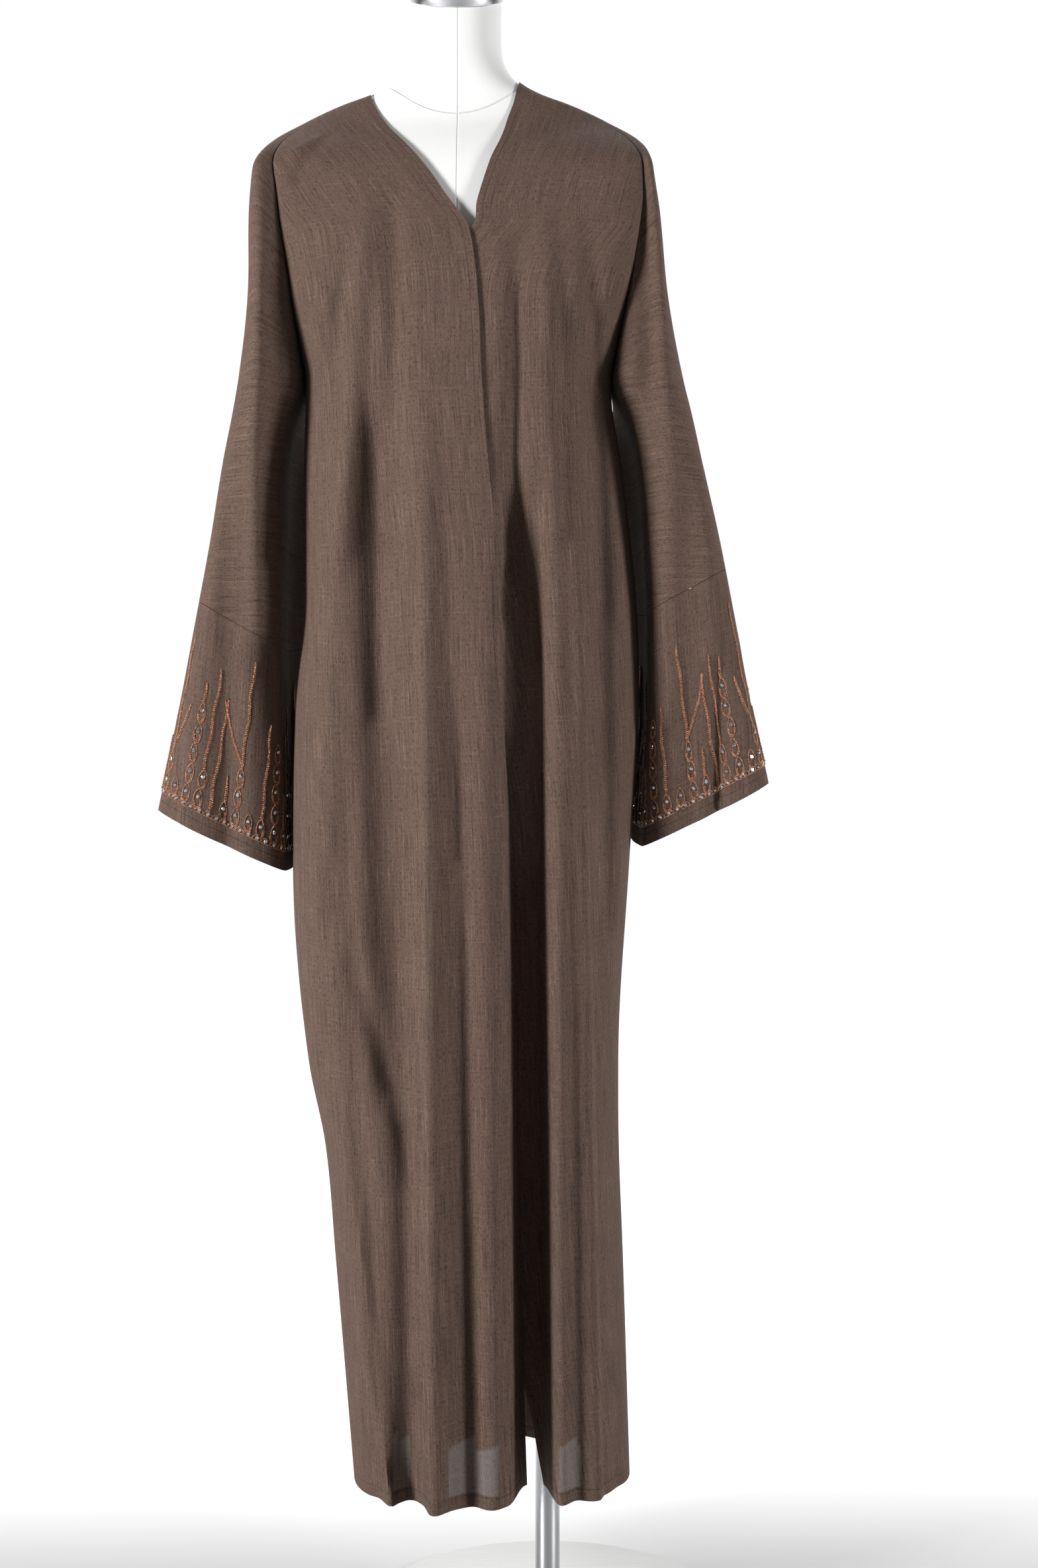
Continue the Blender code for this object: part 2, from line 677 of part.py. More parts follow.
weave = finish("brown_melange", (0.055, 0.034, 0.026), 0.82, 0.0)
shellWhite = finish("white_form_cover", (0.82, 0.82, 0.81), 0.62, 0.0)
chrome = finish("chrome_cap", (0.72, 0.72, 0.74), 0.12, 1.0)
steel = finish("polished_steel", (0.55, 0.55, 0.57), 0.28, 1.0)
stone = finish("pale_plate", (0.66, 0.66, 0.65), 0.45, 0.0)

formAxis = bpy.data.objects.new("form_axis", None)
formAxis.location = (formAxisX, 0, 0)
collection.objects.link(formAxis)

torso = buildForm(shellWhite)
formTree = BVHTree.FromPolygons([vertex.co for vertex in torso.data.vertices],
                                [list(face.vertices) for face in torso.data.polygons])
cutSocket(torso)
buildCap(chrome)
buildStand(steel, stone)

cloak = buildCloak(formTree)
cloakNormals = cloak.normals()
for pieceName in cloak.faces:
    add(pieceName, wallMesh(cloak, pieceName, cloakNormals), weave, formAxis)
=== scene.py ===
import math
import random
import bpy
from mathutils import Vector, Matrix
from mathutils.bvhtree import BVHTree


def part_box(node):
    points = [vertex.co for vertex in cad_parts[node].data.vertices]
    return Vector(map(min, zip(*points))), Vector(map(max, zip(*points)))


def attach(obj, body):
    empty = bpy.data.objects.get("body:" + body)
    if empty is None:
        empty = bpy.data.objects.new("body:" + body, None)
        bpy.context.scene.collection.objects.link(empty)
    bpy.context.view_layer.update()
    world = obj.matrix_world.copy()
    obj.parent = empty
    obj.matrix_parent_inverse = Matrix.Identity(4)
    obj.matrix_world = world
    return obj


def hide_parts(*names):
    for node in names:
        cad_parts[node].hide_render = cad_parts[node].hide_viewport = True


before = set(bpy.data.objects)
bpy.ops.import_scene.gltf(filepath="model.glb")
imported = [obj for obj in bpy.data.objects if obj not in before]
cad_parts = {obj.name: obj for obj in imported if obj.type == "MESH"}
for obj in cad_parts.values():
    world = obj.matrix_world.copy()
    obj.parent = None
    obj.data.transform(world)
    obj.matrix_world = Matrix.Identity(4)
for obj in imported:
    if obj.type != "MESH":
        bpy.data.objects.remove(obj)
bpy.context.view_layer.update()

# Sizes in metres
formAxisX = -0.093
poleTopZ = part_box("pole")[1][2]
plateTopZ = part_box("foot_plate")[1][2]
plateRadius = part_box("foot_plate")[1][0]
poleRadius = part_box("pole")[1][0]
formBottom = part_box("dress_form_torso")[0][2]
neckFrontTop = 1.628
neckTilt = 0.51

camera = {"place": (-0.0293, -2.24, 0.8455), "lens": 50.06, "sensor": 36.0}

cloak = {"wall": 0.0009, "seamGap": 0.0005, "bodyAcross": 92, "sleeveAcross": 34, "backAcross": 132,
         "skirtDown": 96, "sleeveDown": 40, "cuffDown": 26, "placketAcross": 12}

# Shape of the cloak, the same as its solids
clothWall = 0.0011
restGap = 0.0007
wallLift = clothWall * 0.7
layerStep = 0.0032
lowLayerStep = 0.0046
placketStep = 0.0016
overlapRamp = 0.020
placketLow = 1.12
placketTop = 1.39
backNeckDip = 0.012
underarmZ = 1.250
hemZ = 0.137
ringTopZ = 1.522
ringEndZ = 1.462
splitTurn = math.radians(66)
edgeTurn = math.radians(84)
backNeckTurn = math.radians(87)
bodyColumns = 17
overlapColumns = 4
wrapScale = 0.844
overarmDeep = 0.004
neckFrontDeep = 0.0425
# How round each ring is: 1 is an ellipse, and less is squarer
power = {"form": 0.86, "bodyAcross": 0.92, "bodyDeep": 0.78, "sleeveLow": 0.46, "sleeveTop": 0.58,
         "sleeveBack": 0.64}
shoulderLow = 1.44
depthSign = {"front": -1, "back": 1}
outSign = {"right": -1, "left": 1}
formShift = Vector((formAxisX, 0, 0))


def table(names, *rows):
    return {name: [row[i] for row in rows] for i, name in enumerate(names)}


# Dress form, from the lower end to the neck: half width, depth in front and behind
formTable = table(
    ("z", "half", "front", "back"),
    (0.806, 0.143, 0.080, 0.092),
    (0.860, 0.149, 0.086, 0.098),
    (0.930, 0.152, 0.092, 0.104),
    (1.030, 0.138, 0.090, 0.095),
    (1.130, 0.115, 0.084, 0.078),
    (1.220, 0.127, 0.098, 0.082),
    (1.290, 0.143, 0.111, 0.090),
    (1.350, 0.151, 0.107, 0.096),
    (1.400, 0.168, 0.098, 0.098),
    (1.440, 0.182, 0.088, 0.095),
    (1.470, 0.187, 0.077, 0.087),
    (1.490, 0.186, 0.066, 0.077),
    (1.505, 0.177, 0.056, 0.066),
    (1.515, 0.165, 0.050, 0.059),
    (1.528, 0.141, 0.045, 0.053),
    (1.538, 0.118, 0.043, 0.049),
    (1.547, 0.092, 0.0425, 0.047),
    (1.556, 0.073, 0.0425, 0.0455),
    (1.567, 0.059, 0.043, 0.0445),
    (1.585, 0.0485, 0.043, 0.0435),
    (1.628, 0.0455, 0.0425, 0.0435))

# Worn body of the cloak: half widths on the wearer's right and left, depths in front and behind,
# and where the side line lies in depth on the front and on the back. Above the underarm that line
# is the valley between body and sleeve.
bodyTable = table(
    ("z", "right", "left", "front", "back", "sideFront", "sideBack"),
    (1.520, 0.158, 0.162, 0.052, 0.060, -0.038, 0.044),
    (1.500, 0.176, 0.180, 0.066, 0.076, -0.050, 0.056),
    (1.470, 0.182, 0.187, 0.083, 0.092, -0.064, 0.070),
    (1.436, 0.178, 0.188, 0.096, 0.102, -0.070, 0.076),
    (1.400, 0.174, 0.184, 0.107, 0.108, -0.068, 0.072),
    (1.361, 0.168, 0.178, 0.114, 0.111, -0.058, 0.062),
    (1.320, 0.163, 0.170, 0.119, 0.112, -0.040, 0.045),
    (1.285, 0.158, 0.163, 0.122, 0.112, -0.018, 0.020),
    (1.250, 0.154, 0.158, 0.123, 0.112, 0.000, 0.000),
    (1.166, 0.156, 0.169, 0.123, 0.113, 0.000, 0.000),
    (1.030, 0.155, 0.184, 0.121, 0.117, 0.003, 0.003),
    (0.930, 0.165, 0.187, 0.120, 0.119, 0.005, 0.005),
    (0.766, 0.168, 0.177, 0.119, 0.120, 0.008, 0.008),
    (0.562, 0.152, 0.166, 0.118, 0.120, 0.012, 0.012),
    (0.480, 0.1355, 0.1665, 0.1175, 0.120, 0.0135, 0.0135),
    (0.358, 0.1245, 0.171, 0.116, 0.120, 0.016, 0.016),
    (0.137, 0.106, 0.178, 0.113, 0.120, 0.020, 0.020))

# Neck and opening edge of each front, measured from the form's axis towards the wearer's left
rightEdge = table(
    ("z", "place"),
    (1.552, -0.0865), (1.535, -0.0830), (1.506, -0.0660), (1.486, -0.0502), (1.465, -0.0350),
    (1.447, -0.0220), (1.427, -0.0093), (1.409, 0.0033), (1.396, 0.0126), (1.380, 0.0169),
    (1.309, 0.0246), (1.246, 0.0272), (1.156, 0.0342), (1.080, 0.0413), (0.995, 0.0440),
    (0.900, 0.0490), (0.800, 0.0550), (0.700, 0.0590), (0.440, 0.0630), (0.290, 0.0670),
    (0.137, 0.0720))
leftEdge = table(
    ("z", "place"),
    (1.561, 0.0625), (1.531, 0.0570), (1.514, 0.0510), (1.486, 0.0427), (1.461, 0.0345),
    (1.432, 0.0260), (1.416, 0.0220), (1.396, 0.0198), (1.378, 0.0060), (1.345, -0.0100),
    (1.250, -0.0120), (1.000, 0.0040), (0.800, 0.0280), (0.600, 0.0390), (0.400, 0.0500),
    (0.300, 0.0590), (0.220, 0.0740), (0.137, 0.0870))

# Sleeves: inner and outer edge from the form's axis, and depth in front and behind
sleeveNames = ("z", "inner", "outer", "front", "back")
sleeveTables = {
    "right": table(
        sleeveNames,
        (1.500, 0.176, 0.2000, 0.058, 0.064),
        (1.460, 0.180, 0.2060, 0.076, 0.082),
        (1.420, 0.176, 0.2090, 0.084, 0.088),
        (1.338, 0.166, 0.2105, 0.088, 0.090),
        (1.256, 0.154, 0.2205, 0.088, 0.089),
        (1.215, 0.165, 0.2275, 0.087, 0.087),
        (1.174, 0.172, 0.2360, 0.084, 0.085),
        (1.093, 0.175, 0.2495, 0.077, 0.079),
        (1.011, 0.176, 0.2650, 0.070, 0.072),
        (0.930, 0.176, 0.2810, 0.062, 0.064),
        (0.848, 0.175, 0.2985, 0.054, 0.057),
        (0.757, 0.174, 0.3180, 0.047, 0.052)),
    "left": table(
        sleeveNames,
        (1.500, 0.180, 0.1975, 0.058, 0.064),
        (1.460, 0.187, 0.2000, 0.075, 0.082),
        (1.420, 0.187, 0.2062, 0.083, 0.088),
        (1.338, 0.174, 0.2147, 0.087, 0.090),
        (1.256, 0.158, 0.2305, 0.087, 0.089),
        (1.215, 0.174, 0.2405, 0.086, 0.087),
        (1.174, 0.184, 0.2495, 0.083, 0.085),
        (1.093, 0.191, 0.2680, 0.076, 0.079),
        (1.011, 0.195, 0.2840, 0.069, 0.072),
        (0.930, 0.195, 0.2995, 0.061, 0.064),
        (0.848, 0.191, 0.3185, 0.053, 0.057),
        (0.757, 0.188, 0.3350, 0.046, 0.052))}

# How far the back of each sleeve wraps behind the body below the underarm
wrapTable = table(
    ("z", "right", "left"),
    (1.250, 0.000, 0.000),
    (1.215, 0.018, 0.016),
    (1.174, 0.030, 0.026),
    (1.093, 0.037, 0.030),
    (0.930, 0.031, 0.029),
    (0.757, 0.031, 0.036))

# Cuff seam and cuff hem heights at the inner and the outer edge of each sleeve
cuffHeights = {
    "right": {"seamInner": 0.983, "seamOuter": 1.031, "hemInner": 0.757, "hemOuter": 0.820},
    "left": {"seamInner": 1.020, "seamOuter": 1.063, "hemInner": 0.782, "hemOuter": 0.847}}

# Largest folds of the body. Depth is inwards, a minus sign is a ridge.
foldNames = ("topZ", "lowZ", "topPlace", "lowPlace", "topWide", "lowWide", "topDeep", "lowDeep", "side")


# Named folds of one face. Only a folded edge has a side.
def foldRows(face, *rows):
    return [dict(zip(foldNames, row), face=face) for row in rows]


bodyFolds = foldRows(
    "front",
    (1.400, 1.000, 0.062, 0.058, 0.009, 0.013, 0.006, 0.018),
    (1.130, 0.050, 0.061, 0.081, 0.014, 0.019, 0.030, 0.084),
    (1.260, 0.060, 0.118, 0.146, 0.018, 0.016, -0.006, -0.014),
    (1.280, 0.060, -0.032, -0.018, 0.016, 0.013, -0.006, -0.022),
    (1.000, 0.060, -0.056, -0.041, 0.012, 0.012, 0.002, 0.032),
    (1.240, 0.900, -0.075, -0.071, 0.014, 0.014, 0.010, 0.008),
    (1.220, 0.700, -0.112, -0.138, 0.014, 0.016, -0.006, -0.010),
    (0.560, 0.060, -0.118, -0.052, 0.011, 0.011, -0.004, -0.016)) + foldRows(
    "back",
    (1.380, 0.060, 0.000, 0.010, 0.022, 0.020, 0.004, 0.030),
    (1.300, 0.060, -0.050, -0.038, 0.018, 0.017, -0.004, -0.016),
    (1.260, 0.060, -0.098, -0.072, 0.016, 0.013, 0.008, 0.028),
    (1.280, 0.060, 0.060, 0.068, 0.018, 0.018, -0.004, -0.016),
    (1.200, 0.060, 0.108, 0.118, 0.016, 0.017, 0.008, 0.030))

# Largest folds of the sleeves, placed from the form's axis outwards
sleeveFolds = {
    "right": foldRows(
        "front",
        (1.480, 0.980, 0.194, 0.196, 0.011, 0.013, -0.006, -0.006),
        (1.220, 0.700, 0.222, 0.232, 0.012, 0.014, 0.006, 0.010)) + foldRows(
        "back",
        (1.300, 0.700, 0.196, 0.222, 0.012, 0.016, 0.006, 0.012)),
    "left": foldRows(
        "front",
        (1.440, 0.900, 0.204, 0.214, 0.009, 0.013, -0.005, -0.007),
        (1.000, 0.700, 0.262, 0.266, 0.009, 0.011, 0.004, 0.022),
        (1.200, 0.700, 0.232, 0.236, 0.012, 0.014, 0.004, 0.009)) + foldRows(
        "back",
        (1.300, 0.700, 0.206, 0.240, 0.012, 0.016, 0.006, 0.012))}


# A column of a table at one height, on a smooth curve through its rows
def along(rows, column, z):
    heights, values = rows["z"], rows[column]
    if heights[0] > heights[-1]:
        heights, values = heights[::-1], values[::-1]
    if z <= heights[0]:
        return values[0]
    if z >= heights[-1]:
        return values[-1]
    i = next(k for k in range(len(heights) - 1) if heights[k + 1] >= z)
    span = heights[i + 1] - heights[i]
    part = (z - heights[i]) / span
    rise = (values[i + 1] - values[i]) / span
    before = (values[i] - values[i - 1]) / (heights[i] - heights[i - 1]) if i else rise
    last = i + 2 >= len(heights)
    after = rise if last else (values[i + 2] - values[i + 1]) / (heights[i + 2] - heights[i + 1])
    startSlope = 0.5 * (before + rise) if before * rise > 0 else 0.0
    endSlope = 0.5 * (after + rise) if after * rise > 0 else 0.0
    square, cube = part * part, part ** 3
    return ((2 * cube - 3 * square + 1) * values[i] + (cube - 2 * square + part) * span * startSlope
            + (3 * square - 2 * cube) * values[i + 1] + (cube - square) * span * endSlope)


def mix(a, b, part):
    return a + (b - a) * part


def smooth(low, high, value):
    part = min(1.0, max(0.0, (value - low) / (high - low)))
    return part * part * (3 - 2 * part)


# One point of the dress form's ring, turn runs from -90 to 90 degrees across the front or the back
def formPoint(face, turn, z, grow=0.0):
    half = along(formTable, "half", z) + grow
    deep = along(formTable, face, z) + grow
    square = mix(power["form"], 1.0, smooth(shoulderLow, 1.53, z))
    across = math.copysign(abs(math.sin(turn)) ** square, turn)
    return Vector((half * across, depthSign[face] * deep * abs(math.cos(turn)) ** square, z))


plain = {"on": False}  # on while the unfolded cloth is measured


# How far the folds of one list push a point inwards. A row with a side is a folded edge: the cloth on
# that side lies deeper beside a crisp line and comes back slowly. A trench has steep banks.
def foldDepth(folds, face, place, z):
    total = 0.0
    if plain["on"]:
        return total
    for fold in folds:
        if fold["face"] != face:
            continue
        part = (fold["topZ"] - z) / (fold["topZ"] - fold["lowZ"])
        if not 0 < part < 1:
            continue
        off = place - mix(fold["topPlace"], fold["lowPlace"], part)
        off /= mix(fold["topWide"], fold["lowWide"], part)
        if abs(off) > 4:
            continue
        fade = smooth(0, 0.18, part) * smooth(1.0, 0.97, part)
        side = fold.get("side", 0)
        if side:
            profile = smooth(-0.10, 0.15, off * side) * math.exp(-max(0.0, off * side))
        else:
            profile = math.exp(-off ** 4) if fold is trench else math.exp(-off * off)
        total += mix(fold["topDeep"], fold["lowDeep"], part) * fade * profile
    return total


# One point of the worn body with its folds
def bodyPoint(face, turn, z):
    sign = depthSign[face]
    half = along(bodyTable, "right" if turn < 0 else "left", z)
    line = along(bodyTable, "side" + face.capitalize(), z)
    place = math.copysign(half * abs(math.sin(turn)) ** power["bodyAcross"], turn)
    flat = abs(math.cos(turn)) ** power["bodyDeep"]
    fade = min(1.0, 1.9 * abs(math.cos(turn)))
    push = (foldDepth(bodyFolds, face, place, z) + pressDepth(face, place, z)) * fade
    return Vector((place, line + (sign * along(bodyTable, face, z) - line) * flat - sign * push, z))


# One point of a sleeve half, sweep runs from 0 at the inner line to 180 degrees at the overarm line
def sleevePoint(side, face, sweep, z):
    sign = depthSign[face]
    rows = sleeveTables[side]
    if z > underarmZ:
        inner = along(bodyTable, side, z)
        line = along(bodyTable, "side" + face.capitalize(), z)
    else:
        inner, line = along(rows, "inner", z), 0.0
    over = 0.5 * (1 - math.cos(sweep))
    place = mix(inner, along(rows, "outer", z), over)
    roundness = mix(power["sleeveLow"], power["sleeveTop"], smooth(0.96, 1.22, z))
    if face == "back":
        place -= along(wrapTable, side, z) * wrapScale * math.sin(sweep) ** 2 * (1 + math.cos(sweep))
        roundness = power["sleeveBack"]
    base = mix(line, overarmDeep, over)
    swell = abs(math.sin(sweep)) ** roundness
    push = foldDepth(sleeveFolds[side], face, place, z) * min(1.0, 1.6 * abs(math.sin(sweep)))
    deep = base + (sign * along(rows, face, z) - base) * swell - sign * push
    return Vector((outSign[side] * place, deep, z))


# Where an opening edge lies, as a turn of the form's ring or of the worn body
def ringTurn(place, half):
    return math.copysign(math.asin(min(math.sin(edgeTurn), abs(place) / half)), place)


def wornTurn(place, z):
    half = along(bodyTable, "left" if place > 0 else "right", z)
    return math.copysign(math.asin(min(1.0, abs(place) / half) ** (1 / power["bodyAcross"])), place)


# The strip of a front that lies over or under the other front. Both fronts have the same columns in
# it, so their layers run side by side.
def overlapStrip(side, z):
    rightPlace, leftPlace = along(rightEdge, "place", z), along(leftEdge, "place", z)
    least = mix(0.003, 0.012, smooth(1.396, 1.420, z))
    wide = max(rightPlace - leftPlace, least)
    return (rightPlace, rightPlace - wide) if side == "right" else (leftPlace, leftPlace + wide)


# A point of the form's ring on the shoulder that runs into the worn shape below it
def overForm(face, turn, z, worn, dip=0.0):
    ring = formPoint(face, turn, z - dip - restGap - wallLift, restGap + clothWall)
    ring.z = z - dip
    return ring.lerp(worn, smooth(ringTopZ, ringEndZ, z))


def ringHalf(z):
    return along(formTable, "half", z - restGap - wallLift)


# Body half of a front: column 0 is its opening edge, the last column is its side line
def frontPoint(side, column, z):
    edge, inside = overlapStrip(side, z)
    strip = min(1.0, column / overlapColumns)
    rest = max(0.0, (column - overlapColumns) / (bodyColumns - overlapColumns))
    place = mix(edge, inside, strip)
    worn = bodyPoint("front", mix(wornTurn(place, z), outSign[side] * math.pi / 2, rest), z)
    if z < ringEndZ:
        return worn
    turn = mix(ringTurn(place, ringHalf(z)), outSign[side] * frontSplit(side, z), rest)
    return overForm("front", turn, z, worn)


# Above the valley the line between body and sleeve runs up the shoulder's rings
def frontSplit(side, z):
    inner = abs(ringTurn(overlapStrip(side, z)[1], ringHalf(z)))
    return max(splitTurn, mix(inner, math.pi / 2, 0.6))


# Towards the neck the shoulder's rings are so short that the split line follows the ridge
def backSplit(z):
    return mix(splitTurn, backNeckTurn, smooth(1.520, 1.552, z))


def backPoint(part, z):
    turn = mix(-math.pi / 2, math.pi / 2, part)
    dip = backNeckDip * math.cos(turn) ** 2 * smooth(1.49, 1.561, z)
    worn = bodyPoint("back", turn, z)
    worn.z -= dip
    if z < ringEndZ:
        return worn
    split = backSplit(z)
    return overForm("back", mix(-split, split, part), z, worn, dip)


def shoulderPoint(side, face, part, z):
    worn = sleevePoint(side, face, math.pi * part, z)
    if z < ringEndZ:
        return worn
    split = frontSplit(side, z) if face == "front" else backSplit(z)
    return overForm(face, outSign[side] * mix(split, math.pi / 2, part), z, worn)


# Sleeve below the underarm and the cuff: part runs down from the underarm to the cuff's hem
def hangingPoint(side, face, across, down, onCuff):
    sweep = math.pi * across
    over = 0.5 * (1 - math.cos(sweep))
    heights = cuffHeights[side]
    seam = mix(heights["seamInner"], heights["seamOuter"], over)
    hem = mix(heights["hemInner"], heights["hemOuter"], over)
    z = mix(seam, hem, down) if onCuff else mix(underarmZ, seam, down)
    return sleevePoint(side, face, sweep, z)


# Layers that lie under the right front follow it at a fixed depth
def layered(where, depth):
    step = 0.002
    across = where(step * 10, 0) - where(-step * 10, 0)
    normal = across.cross(where(0, step) - where(0, -step)).normalized()
    if normal.y > 0:
        normal.negate()
    return where(0, 0) - normal * depth


def leftFrontPoint(column, z):
    place = frontPoint("left", column, z)
    cover = along(rightEdge, "place", z) if z < 1.398 else -1.0
    hidden = 1 - smooth(cover + 0.004, cover + 0.004 + overlapRamp, place.x)
    hidden *= 1 - smooth(1.385, 1.398, z)
    if hidden <= 0:
        return place
    deep = mix(lowLayerStep, layerStep, smooth(0.70, 1.00, z))
    return layered(lambda a, b: frontPoint("left", max(0.0, column + a), z + b), deep * hidden)


def placketPoint(column, z):
    return layered(lambda a, b: frontPoint("right", max(0.0, column + a), z + b), placketStep)


# Sizes of the dress form, its cap and the stand
form = {"sides": 120, "levels": 150}
cap = {"radius": 0.0485, "thick": 0.010, "rim": 0.0012, "gap": 0.0004,
       "steps": ((0.0016, 0.0008), (0.010, 0.0016), (0.018, 0.0010), (0.013, 0.0006))}
stand = {"sides": 128, "plateEdge": 0.0015, "collarRadius": 0.026, "collarTall": 0.030, "socketDeep": 0.080,
         "play": 0.0003}


# One ring of the form, tilted towards the cap at the neck
def formRing(z, sides):
    lean = smooth(1.59, neckFrontTop, z) * neckTilt
    ring = []
    for k in range(sides):
        angle = 2 * math.pi * k / sides
        face = "front" if math.cos(angle) > 0 else "back"
        place = formPoint(face, math.asin(max(-1.0, min(1.0, math.sin(angle)))), z)
        place.z += (place.y + neckFrontDeep) * lean
        ring.append(place)
    return ring


# The deep fold under the opening edge, with steep banks here
trench = bodyFolds[1]
trench.update(topZ=1.190, topPlace=0.0680, lowPlace=0.0800, topWide=0.0200, lowWide=0.0185, topDeep=0.034,
              lowDeep=0.064)
bodyFolds[4].update(lowDeep=0.012)
for side in ("right", "left"):
    wrapTable[side] = [value + mix(0.006, 0.020 if side == "left" else 0.010, smooth(1.060, 1.180, z))
                       * smooth(1.250, 1.215, z) for z, value in zip(wrapTable["z"], wrapTable[side])]

# Smaller creases than the solids have, in the same columns as the large folds
bodyFolds += foldRows(
    "front",
    (1.545, 1.470, -0.098, -0.168, 0.007, 0.010, -0.0030, -0.0050),
    (1.530, 1.440, -0.118, -0.160, 0.007, 0.010, 0.0030, 0.0050),
    (1.450, 1.060, -0.060, -0.056, 0.012, 0.012, 0.0060, 0.0110),
    (1.440, 1.060, -0.084, -0.112, 0.010, 0.012, -0.0040, -0.0080),
    (1.360, 1.120, -0.108, -0.134, 0.009, 0.012, 0.0050, 0.0060),
    (1.180, 0.760, -0.010, 0.004, 0.008, 0.010, 0.0016, 0.0030),
    (0.900, 0.420, -0.108, -0.092, 0.009, 0.012, 0.0030, 0.0040),
    (0.700, 0.440, -0.108, -0.030, 0.009, 0.014, 0.0050, 0.0050),
    (1.380, 0.520, -0.090, -0.060, 0.020, 0.020, 0.0110, 0.0140),
    (1.340, 0.700, 0.134, 0.152, 0.013, 0.013, 0.0110, 0.0130),
    (1.000, 0.120, 0.004, 0.016, 0.012, 0.014, 0.0040, 0.0080),
    (1.120, 0.050, 0.062, 0.066, 0.026, 0.028, 0.0060, 0.0100),
    (1.180, 0.100, 0.104, 0.106, 0.012, 0.012, -0.0080, -0.0090),
    (1.100, 0.100, 0.030, 0.034, 0.014, 0.013, -0.0050, -0.0070),
    (0.780, 0.100, 0.010, 0.022, 0.009, 0.010, 0.0018, 0.0060),
    (0.620, 0.090, 0.036, 0.044, 0.006, 0.007, -0.0010, -0.0030),
    (0.480, 0.060, -0.084, -0.072, 0.006, 0.008, 0.0020, 0.0070),
    (1.430, 1.080, 0.088, 0.100, 0.012, 0.012, -0.0040, -0.0080),
    (1.380, 0.900, 0.104, 0.112, 0.009, 0.010, 0.0030, 0.0060),
    (1.420, 1.000, 0.132, 0.150, 0.009, 0.012, 0.0050, 0.0060),
    (1.120, 0.560, 0.157, 0.160, 0.010, 0.009, -0.0020, -0.0030),
    (0.900, 0.090, 0.112, 0.120, 0.008, 0.009, 0.0024, 0.0060),
    (0.560, 0.080, 0.160, 0.164, 0.007, 0.007, 0.0020, 0.0050)) + foldRows(
    "back",
    (1.520, 1.360, -0.066, -0.120, 0.012, 0.014, -0.0014, -0.0030),
    (1.510, 1.350, 0.072, 0.128, 0.011, 0.014, -0.0014, -0.0026),
    (1.430, 1.050, -0.028, -0.024, 0.010, 0.012, -0.0010, -0.0040),
    (1.360, 0.960, 0.036, 0.034, 0.011, 0.012, 0.0014, 0.0040),
    (1.320, 1.020, -0.138, -0.120, 0.010, 0.012, 0.0034, 0.0030),
    (1.320, 0.940, 0.142, 0.140, 0.010, 0.012, 0.0034, 0.0030),
    (1.020, 0.090, -0.022, -0.016, 0.009, 0.009, -0.0020, -0.0070),
    (0.960, 0.090, 0.036, 0.042, 0.009, 0.009, 0.0020, 0.0080),
    (0.920, 0.090, 0.090, 0.094, 0.008, 0.009, -0.0020, -0.0080),
    (0.820, 0.090, -0.128, -0.098, 0.008, 0.008, -0.0020, -0.0060),
    (0.700, 0.090, 0.146, 0.150, 0.008, 0.008, -0.0016, -0.0050))
sleeveFolds["right"] += foldRows(
    "front",
    (1.400, 0.880, 0.172, 0.184, 0.012, 0.014, 0.0140, 0.0000),
    (1.400, 1.060, 0.184, 0.186, 0.006, 0.007, 0.0020, 0.0030),
    (1.340, 1.000, 0.207, 0.212, 0.006, 0.008, 0.0016, 0.0030),
    (1.160, 0.980, 0.236, 0.246, 0.007, 0.009, -0.0012, -0.0024),
    (1.060, 0.720, 0.256, 0.272, 0.010, 0.014, -0.0014, -0.0050)) + foldRows(
    "back",
    (1.420, 1.000, 0.186, 0.192, 0.008, 0.010, -0.0020, -0.0040),
    (1.180, 0.720, 0.240, 0.262, 0.009, 0.013, -0.0016, -0.0050))
sleeveFolds["left"] += foldRows(
    "front",
    (1.460, 0.880, 0.188, 0.190, 0.014, 0.018, 0.0180, 0.0000),
    (1.400, 1.100, 0.194, 0.200, 0.005, 0.007, 0.0020, 0.0036),
    (1.180, 0.960, 0.248, 0.258, 0.008, 0.009, -0.0014, -0.0030),
    (1.080, 0.720, 0.290, 0.300, 0.009, 0.012, -0.0014, -0.0040)) + foldRows(
    "back",
    (1.420, 1.000, 0.196, 0.206, 0.008, 0.010, -0.0020, -0.0040),
    (1.160, 0.720, 0.256, 0.282, 0.009, 0.013, -0.0016, -0.0050))

# Folded edges, where one panel lies in front of the next
bodyFolds += foldRows(
    "front",
    (1.240, 0.060, -0.0335, -0.0250, 0.044, 0.034, 0.003, 0.017, -1),
    (0.490, 0.060, -0.1240, -0.0440, 0.030, 0.024, 0.002, 0.007, 1),
    (1.180, 0.060, 0.1240, 0.1480, 0.026, 0.022, 0.002, 0.012, 1)) + foldRows(
    "back",
    (0.900, 0.060, -0.0560, -0.0420, 0.040, 0.036, 0.002, 0.014, -1),
    (1.050, 0.060, 0.1000, 0.1080, 0.034, 0.030, 0.002, 0.014, 1))

# Creases pressed across the cloth when it lay folded
pressNames = ("face", "startPlace", "endPlace", "startZ", "endZ", "wide", "deep")
pressLines = [dict(zip(pressNames, row)) for row in (
    ("front", -0.140, -0.050, 0.562, 0.578, 0.0030, 0.0011),
    ("front", 0.095, 0.165, 0.600, 0.592, 0.0030, 0.0007),
    ("front", -0.120, -0.040, 0.905, 0.900, 0.0040, 0.0006),
    ("back", -0.130, 0.120, 0.572, 0.566, 0.0030, 0.0009),
    ("back", -0.120, 0.140, 0.920, 0.926, 0.0040, 0.0007))]


